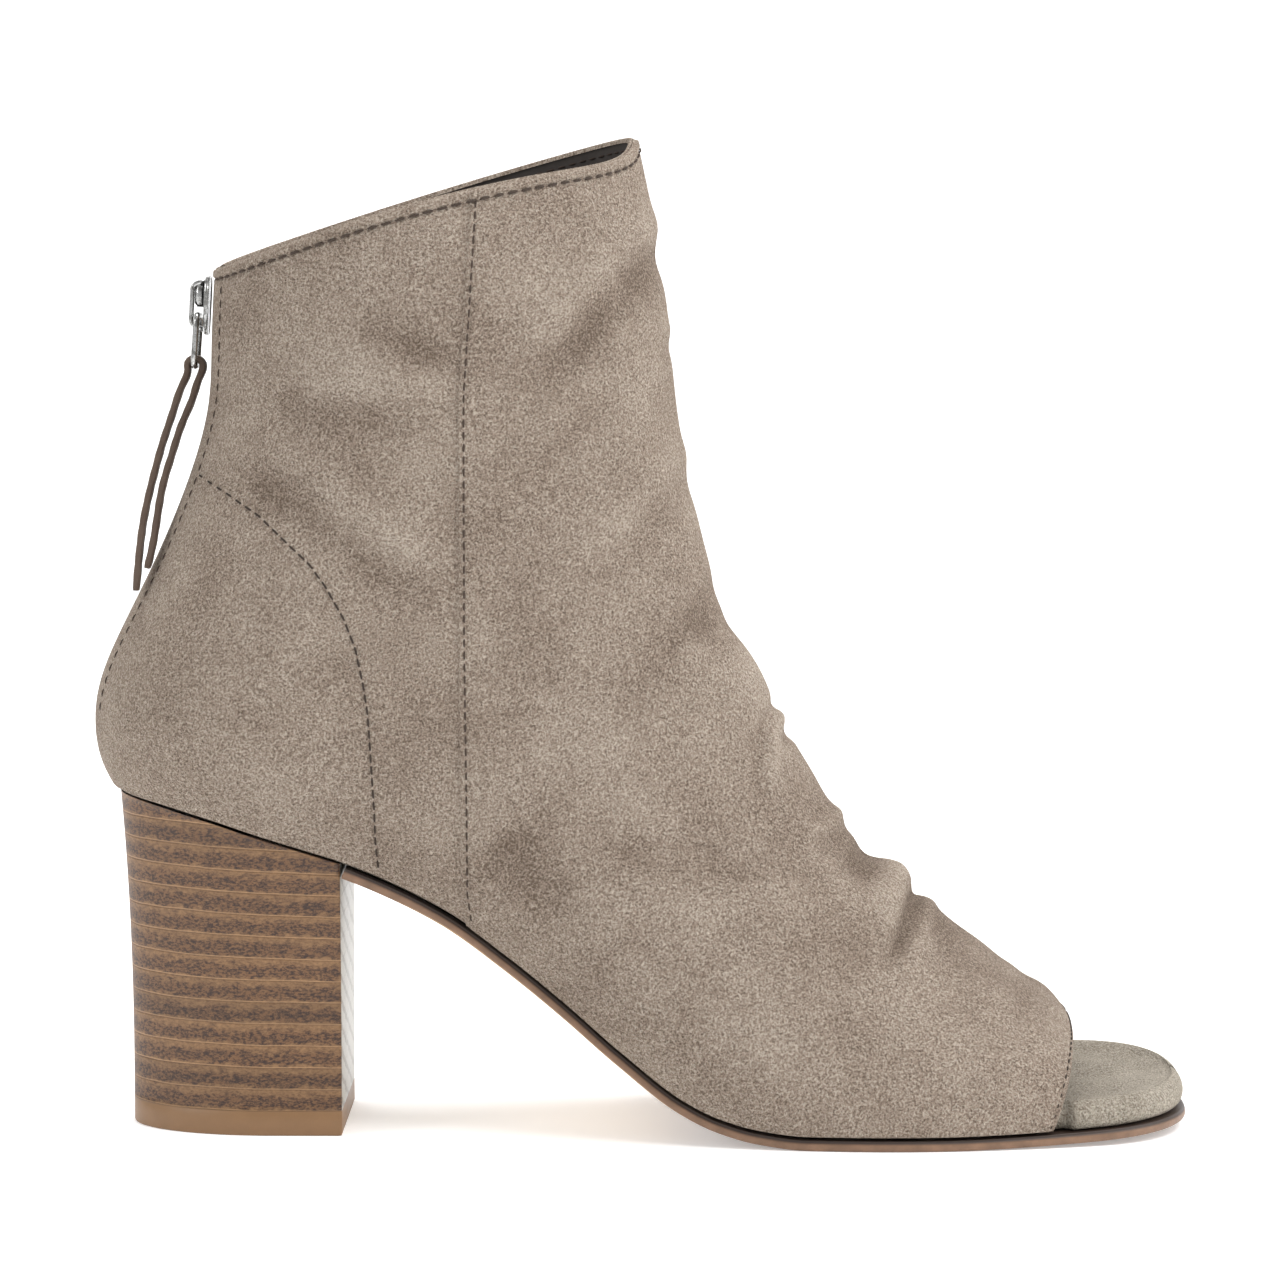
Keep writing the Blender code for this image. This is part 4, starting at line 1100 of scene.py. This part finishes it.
def stack_material():
    """Thin leather layers: a light line, a tan band and a dark mottled band in each."""
    made, tree, shader = node_shader("stacked_layers")
    where = object_place(tree)
    split = add_node(tree, "ShaderNodeSeparateXYZ", {"Vector": where})
    fan = maths(tree, "ADD", maths(tree, "MULTIPLY", split.outputs["X"], LAYER_FAN), 1.0)
    height = maths(tree, "MULTIPLY", split.outputs["Z"], fan)
    wander = ramp(tree, noise(tree, where, 60.0, 2.0, 0.5), 0.0, 1.0, -0.0003, 0.0003)
    height = maths(tree, "SUBTRACT", maths(tree, "ADD", height, wander), LAYER_START)
    layer = maths(tree, "DIVIDE", height, LAYER_THICK)
    share = maths(tree, "FRACT", layer)
    wide = add_node(tree, "ShaderNodeMapping", {"Vector": where, "Scale": (0.5, 0.5, 1.0)})
    flat = wide.outputs["Vector"]
    mottle = noise(tree, flat, 2200.0, 4.0, 0.7)
    blotch = ramp(tree, noise(tree, flat, 700.0), 0.3, 0.7, -0.22, 0.22)
    fade = maths(tree, "ADD", share, blotch)
    dark_band = maths(tree, "MULTIPLY", ramp(tree, fade, 0.88, 0.55), ramp(tree, fade, -0.05, 0.18))
    tan = mix_colour(tree, ramp(tree, mottle, 0.35, 0.65), linear(100, 71, 45), linear(136, 103, 69))
    mid = mix_colour(tree, ramp(tree, mottle, 0.42, 0.58), linear(46, 28, 20), linear(108, 76, 48))
    colour = mix_colour(tree, dark_band, tan, mid)
    line = maths(tree, "MULTIPLY", ramp(tree, share, 0.0, 0.055, 1.0, 0.0), 0.85)
    colour = mix_colour(tree, line, colour, linear(170, 135, 96))
    under = maths(tree, "MULTIPLY", ramp(tree, share, 0.93, 1.0), 0.45)
    colour = mix_colour(tree, under, colour, linear(92, 66, 50))
    each = add_node(tree, "ShaderNodeTexWhiteNoise", {"W": maths(tree, "FLOOR", layer)},
                    noise_dimensions="1D").outputs["Value"]
    shade = ramp(tree, each, 0.0, 1.0, 0.86, 1.06)
    tint = add_node(tree, "ShaderNodeCombineColor", dict.fromkeys(("Red", "Green", "Blue"), shade))
    colour = mix_colour(tree, 1.0, colour, tint.outputs["Color"], "MULTIPLY")
    breast = attribute(tree, "breast")
    slant = add_node(tree, "ShaderNodeMapping", {"Vector": where, "Rotation": (0.35, 0.0, 0.0)})
    hatch = add_node(tree, "ShaderNodeTexWave", {"Vector": slant.outputs["Vector"], "Scale": 62.0,
                                                 "Distortion": 2.0, "Detail": 3.0, "Detail Scale": 6.0},
                     bands_direction="Z").outputs["Fac"]
    hatch = ramp(tree, hatch, 0.15, 0.3, 1.0, 0.0)
    silver = mix_colour(tree, hatch, linear(152, 149, 140), linear(116, 109, 97))
    feed(tree, shader, {"Base Color": mix_colour(tree, breast, colour, silver),
                        "Roughness": ramp(tree, breast, 0.0, 1.0, 0.55, 0.35)})
    seam = maths(tree, "ABSOLUTE", maths(tree, "SUBTRACT", share, 0.98))
    groove = maths(tree, "SUBTRACT", 1.0, ramp(tree, seam, 0.0, 0.05, 1.0, 0.0))
    first = bump(tree, shader, groove, 0.0002, 0.6)
    bump(tree, shader, mottle, 0.00012, 0.5, first)
    return made


OUTSOLE = outsole_material()
STACK = stack_material()
TIP = plain_material("heel_tip_tan", linear(127, 95, 63), 0.45, 500.0, 0.00005, 0.05)
footbed_piece = make_footbed(FOOTBED_SUEDE)
dress(footbed_piece, "footbed")
dress(make_outsole(OUTSOLE), "outsole")
dress(make_heel_block(STACK), "heel_block")
dress(make_top_piece(TIP), "heel_top_piece")
make_stitches()


ZIP_TAPE_WIDTH = 0.0150
ZIP_TAPE_THICK = 0.0008
ZIP_TAPE_GAP = 0.0006
ZIP_END_ROW = 0.06
# Distances of the tape's points from the back's middle line; a cord runs near its inner edge
TAPE_REACHES = np.array((ZIP_TAPE_WIDTH / 2, 0.0062, 0.0050, 0.0038, 0.0030, 0.0024, 0.0019, 0.0014,
                         0.0008, 0.0002))
TAPE_CORD = 0.0007
TAPE_CORD_AT = 0.0021
TAPE_CORD_WIDTH = 0.0006
ACROSS = np.array([0.0, 1.0, 0.0])
TOOTH_PITCH = 0.0020
TOOTH_SIZE = (0.0026, 0.0011, 0.0017)
TOOTH_ASIDE = 0.0007
BLOCK_LEVELS = ((-1.0, 1.0), (0.5, 1.0), (1.0, 0.7))
PLATE_LEVELS = ((1.0, 0.0), (1.0, 0.55), (0.985, 0.8), (0.95, 0.94), (0.89, 1.0))
PLATE_WAIST = 0.14
SLIDER_LENGTH = 0.0130
SLIDER_WIDTH = 0.0084
SLIDER_PLATE = 0.0011
SLIDER_CLEAR = 0.0004
SLIDER_DROP = 0.0085
BRIDGE_LENGTH = 0.0118
BRIDGE_RISE = 0.0034
BRIDGE_WIDTH = 0.0026
BRIDGE_BAR = 0.0011
BRIDGE_SLOPE = 0.0016
BRIDGE_CORNER = 0.0018
POST_SIZE = (0.0022, 0.0052, 0.0024)
POST_ALONG = 0.0022
RING_WIRE = 0.0014
RING_LENGTH = 0.0112
RING_WIDTH = 0.0098
RING_CORNER = 0.0021
RING_LEAN = math.radians(4.0)
LOOP_WIDTH = 0.0050
LOOP_THICK = 0.0015
PULL_DROP = 0.0510
PULL_REACH = 0.0140
PULL_ASIDE = 0.0125
PULL_ASIDE_BEND = 1.3
PULL_FRONT = ((0.700, 0.860), (0.628, 0.768), (0.562, 0.642), (0.472, 0.494), (0.355, 0.382),
              (0.195, 0.243), (0.035, 0.135), (-0.050, 0.060))
PULL_BACK = ((0.195, 0.078), (0.338, 0.191), (0.485, 0.317), (0.635, 0.473), (0.765, 0.642),
             (0.830, 0.798), (0.865, 0.954))


def back_point(row, lift=0.0):
    """A point of the back's middle line, lifted square to the wall, and the way out from it."""
    out = skin_out(row, 0.01, -1)
    out = unit(np.array([float(out[..., 0]), 0.0, float(out[..., 2])]))
    point = np.array(skin(row, 0.0, -1), float).reshape(3)
    return point + out * lift, out


def make_tape(material):
    """The zip's two woven tapes inside the slit, with a raised cord along each inner edge."""
    rows = np.linspace(ZIP_END_ROW, ZIP_LAST_ROW - ZIP_END_ROW, 130)
    level = -(WALL + ZIP_TAPE_GAP) + TAPE_CORD * bell(TAPE_REACHES, TAPE_CORD_WIDTH, TAPE_CORD_AT)
    tops, unders = [], []
    for side in (-1, 1):
        places = back_place(np.repeat(rows[:, None], len(TAPE_REACHES), axis=1), TAPE_REACHES, side)
        face, out = face_grid(rows, places, side)
        tops.append(face + out * level[None, :, None])
        unders.append(face + out * (level - ZIP_TAPE_THICK)[None, :, None])
    rings = np.concatenate([tops[0], tops[1][:, ::-1], unders[1], unders[0][:, ::-1]], axis=1)
    count = rings.shape[1]
    faces = grid_faces(len(rows), count, wrap=True)
    faces.append(tuple(range(count)))
    faces.append(tuple((len(rows) - 1) * count + k for k in reversed(range(count))))
    return mesh_piece("zip_tape_woven", rings.reshape(-1, 3), faces, material)


def block_at(points, faces, middle, along, out, size, round_off=0.3):
    """Adds a small block with softened ends: size is across, along, out."""
    wide, long, tall = (value / 2 for value in size)
    flat = 1.0 - round_off
    outline = ((-1.0, flat), (-flat, 1.0), (flat, 1.0), (1.0, flat),
               (1.0, -flat), (flat, -1.0), (-flat, -1.0), (-1.0, -flat))
    faces += closed_faces(len(BLOCK_LEVELS), len(outline), len(points), True)
    for height, shrink in BLOCK_LEVELS:
        points += [middle + ACROSS * a * wide * shrink + along * b * long * shrink + out * height * tall
                   for a, b in outline]


def make_teeth(material):
    """The closed chain: metal teeth that take turns from side to side."""
    found = [back_point(row) for row in np.linspace(ZIP_END_ROW, ZIP_LAST_ROW - ZIP_END_ROW, 500)]
    line, outs = (np.array(part) for part in zip(*found))
    run = run_along(line)
    points, faces = [], []
    side = 1
    for distance in np.arange(0.0012, run[-1] - 0.001, TOOTH_PITCH / 2):
        out = unit(at_run(distance, run, outs))
        along = np.array([-out[2], 0.0, out[0]])
        middle = at_run(distance, run, line) + ACROSS * side * TOOTH_ASIDE
        block_at(points, faces, middle - out * (0.0001 + TOOTH_SIZE[2] / 2), along, out, TOOTH_SIZE)
        side = -side
    return mesh_piece("zip_teeth", points, faces, material)


def slider_frame():
    """Middle of the slider on the chain's face, the way up and the way out."""
    top = back_point(0.0)[0]
    row = 0.0
    while np.linalg.norm(back_point(row)[0] - top) < SLIDER_DROP:
        row += 0.01
    here, out = back_point(row, GAP)
    up = np.array([-out[2], 0.0, out[0]])
    return here, up * (1.0 if up[2] > 0 else -1.0), out


def rounded_path(corners, radius, steps=9):
    """Points round 2-D corners, each given with the corner before and after it."""
    path = []
    for before, here, after in corners:
        before, here, after = (np.array(p, float) for p in (before, here, after))
        reach = min(radius, np.linalg.norm(before - here) / 2.1, np.linalg.norm(after - here) / 2.1)
        start = here + unit(before - here) * reach
        end = here + unit(after - here) * reach
        for t in np.linspace(0.0, 1.0, steps):
            path.append((1 - t) ** 2 * start + 2 * t * (1 - t) * here + t ** 2 * end)
    return path


def soft_square(count, power):
    """Points round a square of half size 1, its corners softer as the power nears 1."""
    turns = np.linspace(0.0, 2 * math.pi, count, endpoint=False)
    return [tuple(math.copysign(abs(v) ** power, v) for v in (math.cos(t), math.sin(t))) for t in turns]


def make_slider(material):
    """The silver slider: a waisted plate over the chain and the bent bridge that holds the ring."""
    here, up, out = slider_frame()
    half_long, half_wide = SLIDER_LENGTH / 2, SLIDER_WIDTH / 2
    outline = []
    for a, b in soft_square(64, 0.55):
        along = half_long * b
        waist = 1.0 - PLATE_WAIST + PLATE_WAIST * smooth((along / half_long + 0.6) / 1.2)
        outline.append((half_wide * a * waist, along))
    points, faces = [], closed_faces(len(PLATE_LEVELS), len(outline))
    for scale, height in PLATE_LEVELS:
        lift = SLIDER_CLEAR + SLIDER_PLATE * height
        points += [here + ACROSS * a * scale + up * b * scale + out * lift for a, b in outline]
    low = SLIDER_CLEAR + SLIDER_PLATE - 0.0002
    high = SLIDER_CLEAR + SLIDER_PLATE + BRIDGE_RISE - BRIDGE_BAR / 2
    half = BRIDGE_LENGTH / 2
    end = half - BRIDGE_BAR / 2
    bend = end - BRIDGE_SLOPE * 0.5
    spine = [np.array(spot) for spot in ((-end, low), (-bend, high), (bend, high), (end, low))]
    path = [spine[0]] + rounded_path((spine[:3], spine[1:]), BRIDGE_CORNER) + [spine[3]]
    section = soft_square(16, 0.5)
    faces += closed_faces(len(path), len(section), len(points), True)
    for k, (a, c) in enumerate(path):
        ahead = unit(path[min(k + 1, len(path) - 1)] - path[max(k - 1, 0)])
        flat = 1.0 - 0.25 * smooth(abs(a) / half)
        for wide, thick in section:
            offset = np.array([-ahead[1], ahead[0]]) * thick * BRIDGE_BAR / 2
            points.append(here + up * (a + offset[0]) + out * (c + offset[1])
                          + ACROSS * wide * BRIDGE_WIDTH / 2 * flat)
    post = here + up * POST_ALONG + out * (low + POST_SIZE[2] / 2)
    block_at(points, faces, post, up, out, POST_SIZE, 0.5)
    return mesh_piece("silver_slider", points, faces, material)


def pivot_point():
    here, up, out = slider_frame()
    lowest = -BRIDGE_LENGTH / 2 + BRIDGE_BAR + BRIDGE_SLOPE + RING_WIRE / 2 + GAP
    clear = SLIDER_CLEAR + SLIDER_PLATE + BRIDGE_RISE - BRIDGE_BAR - RING_WIRE / 2 - GAP
    return here + up * lowest + out * clear


def sweep(name, path, section, across, material, closed=False, fits=None, layers=None):
    """Sweeps a section (out, across) along a path that lies square to the way across."""
    points = []
    count, size = len(path), len(section)
    for k, point in enumerate(path):
        before = path[(k - 1) % count] if closed or k else point
        after = path[(k + 1) % count] if closed or k < count - 1 else point
        square = np.cross(unit(after - before), across)
        wide, thick = fits[k] if fits else (1.0, 1.0)
        points += [point + square * a * thick + across * b * wide for a, b in section]
    if closed:
        faces = [tuple(k % len(points) for k in face) for face in grid_faces(count + 1, size, wrap=True)]
    else:
        faces = closed_faces(count, size)
    return mesh_piece(name, points, faces, material, layers)


def ring_frame():
    """The pivot in the bridge and the way down from it."""
    return pivot_point(), np.array([-math.sin(RING_LEAN), 0.0, -math.cos(RING_LEAN)])


def make_ring(material):
    """The bent wire ring that hangs in the slider's bridge."""
    pivot, down = ring_frame()
    half = (RING_WIDTH - RING_WIRE) / 2
    spots = ((half, 0.0), (half, RING_LENGTH), (-half, RING_LENGTH), (-half, 0.0))
    flat = rounded_path([(spots[k - 1], spots[k], spots[(k + 1) % 4]) for k in range(4)], RING_CORNER)
    path = [pivot + ACROSS * y + down * z for y, z in flat]
    turns = np.linspace(0.0, 2 * math.pi, 14, endpoint=False)
    section = [(math.cos(t) * RING_WIRE / 2, math.sin(t) * RING_WIRE / 2) for t in turns]
    return sweep("pull_ring_wire", path, section, np.cross(ACROSS, down), material, True)


def pull_path():
    """Middle line of the leather strip: up its front, over the ring's lower bar, down its back."""
    pivot, down = ring_frame()
    bar = pivot + down * RING_LENGTH
    head = RING_WIRE / 2 + GAP + LOOP_THICK / 2

    def place(reach, drop):
        aside = PULL_ASIDE * drop ** PULL_ASIDE_BEND
        return bar + np.array([-reach * PULL_REACH, -aside, -drop * PULL_DROP])

    points = [place(*pair) for pair in PULL_FRONT]
    for turn in np.radians(np.linspace(-20.0, 200.0, 7)):
        points.append(bar + np.array([math.cos(turn), 0.0, math.sin(turn)]) * head)
    points += [place(*pair) for pair in PULL_BACK]
    points = np.array(points)
    run = run_along(points)
    fine = np.linspace(0.0, run[-1], 150)
    line = np.stack([spline(run, points[:, k], fine) for k in range(3)], axis=1)
    return line, fine


def make_pull(material):
    """The folded leather pull, with softened edges that the cut leaves darker."""
    line, run = pull_path()
    section = [(a * LOOP_THICK / 2, b * LOOP_WIDTH / 2) for a, b in soft_square(28, 0.4)]
    fits = []
    for distance in run:
        from_end = min(distance, run[-1] - distance)
        cut = 0.82 + 0.18 * float(smooth(from_end / 0.0012))
        wave = 1.0 + 0.025 * math.sin(distance * 900.0) + 0.02 * math.sin(distance * 2150.0 + 1.0)
        fits.append((cut * wave, cut * (1.0 + 0.05 * math.sin(distance * 1400.0))))
    from_middle = np.abs([b for _, b in section] * len(line))
    edge_layer = {"edge": np.clip((from_middle - 0.0017) / 0.0008, 0.0, 1.0)}
    return sweep("leather_pull", line, section, ACROSS, material, False, fits, edge_layer)


def metal_material():
    """Bright nickel with dark patches painted into its colour as reflections, and fine brushed marks in its
    roughness and bump.
    """
    made, tree, shader = node_shader("zip_silver")
    reflection_and_wear = noise(tree, object_place(tree), 700.0, 4.0)
    # The noise darkens patches of the base colour as painted reflections.
    colour = mix_colour(tree, ramp(tree, reflection_and_wear, 0.42, 0.62), linear(196, 196, 195), linear(118, 117, 114))
    feed(tree, shader, {"Base Color": colour, "Roughness": ramp(tree, reflection_and_wear, 0.3, 0.7, 0.16, 0.30),
                        "Metallic": 1.0})
    bump(tree, shader, reflection_and_wear, 0.00003, 0.6)
    return made


def tape_material():
    """Woven zip tape: fine herringbone ribs across its run."""
    made, tree, shader = node_shader("zip_woven")
    ribs = add_node(tree, "ShaderNodeTexWave", {"Vector": object_place(tree), "Scale": 420.0,
                                                "Distortion": 1.5, "Detail": 1.0},
                    wave_type="BANDS", bands_direction="DIAGONAL").outputs["Fac"]
    colour = mix_colour(tree, ribs, linear(58, 50, 45), linear(98, 88, 79))
    feed(tree, shader, {"Base Color": colour, "Roughness": 0.95})
    bump(tree, shader, ribs, 0.0002, 0.8)
    return made


def pull_material():
    """Taupe leather of the pull, with darker dyed edges and a worn face."""
    made, tree, shader = node_shader("pull_taupe")
    where = object_place(tree)
    patches = ramp(tree, noise(tree, where, 260.0, 4.0), 0.3, 0.7)
    face = mix_colour(tree, patches, linear(98, 82, 70), linear(128, 112, 98))
    dyed = ramp(tree, attribute(tree, "edge"), 0.2, 1.0, 0.0, 0.75)
    colour = mix_colour(tree, dyed, face, linear(66, 50, 40))
    feed(tree, shader, {"Base Color": colour, "Roughness": 0.8})
    bump(tree, shader, noise(tree, where, 1500.0), 0.00015, 0.7)
    return made


METAL = metal_material()
dress(make_slider(METAL), "zip_slider")
dress(make_ring(METAL), "pull_ring", "zip_pull")
dress(make_pull(pull_material()), "pull_loop", "zip_pull")
dress(make_tape(tape_material()), "zip_tape")
dress(make_teeth(METAL), "zip_tape")


def look_at_boot():
    """The photo's camera: level with the instep, looking slightly down."""
    data = bpy.data.cameras.new("photo_camera")
    data.lens = 127.7
    data.sensor_width = 36.0
    data.clip_start = 0.01
    camera = bpy.data.objects.new("photo_camera", data)
    camera.location = (0.0886, -1.0, 0.1825)
    camera.rotation_euler = (math.radians(90.0 - 4.333), 0.0, 0.0)
    bpy.context.scene.collection.objects.link(camera)
    bpy.context.scene.camera = camera


def soft_light(name, place, size, power):
    """A soft rectangular light that looks at the middle of the boot."""
    data = bpy.data.lights.new(name, "AREA")
    data.shape = "RECTANGLE"
    data.size, data.size_y = size
    data.energy = power
    lamp = bpy.data.objects.new(name, data)
    lamp.location = place
    lamp.rotation_euler = (Vector(LIT_MIDDLE) - Vector(place)).to_track_quat("-Z", "Y").to_euler()
    bpy.context.scene.collection.objects.link(lamp)


def make_stage():
    """White sweep under and behind the boot."""
    made, tree, shader = node_shader("white_sweep")
    feed(tree, shader, {"Base Color": (0.94, 0.94, 0.94, 1.0), "Roughness": 0.9,
                        "Emission Color": (1.0, 1.0, 1.0, 1.0), "Emission Strength": 0.30})
    points = [(x, y, z) for y, z in STAGE_LINE for x in (-3.0, 3.2)]
    faces = [(2 * k, 2 * k + 1, 2 * k + 3, 2 * k + 2) for k in range(len(STAGE_LINE) - 1)]
    mesh_piece("sweep", points, faces, made)


def light_scene():
    world = bpy.data.worlds.new("studio")
    world.use_nodes = True
    feed(world.node_tree, world.node_tree.nodes["Background"], {"Color": (1.0, 1.0, 1.0, 1.0),
                                                                "Strength": 0.60})
    bpy.context.scene.world = world
    bpy.context.scene.view_settings.view_transform = "Standard"
    soft_light("key", (0.7, -0.5, 1.1), (0.5, 0.5), 8.5)
    soft_light("top", (0.1, 0.2, 1.4), (1.0, 0.8), 12.0)
    soft_light("back_fill", (-1.1, -0.7, 0.7), (0.6, 0.6), 5.0)
    soft_light("front_side", (1.2, -0.2, 0.5), (0.6, 0.8), 5.0)


LIT_MIDDLE = (0.08, 0.0, 0.1)
# Side view of the sweep, from the front edge of the floor to the top of the wall: y, z
STAGE_LINE = ((-2.0, 0.0), (0.6, 0.0), (0.9, 0.02), (1.15, 0.12), (1.35, 0.35), (1.4, 0.7), (1.4, 2.5))
look_at_boot()
make_stage()
light_scene()
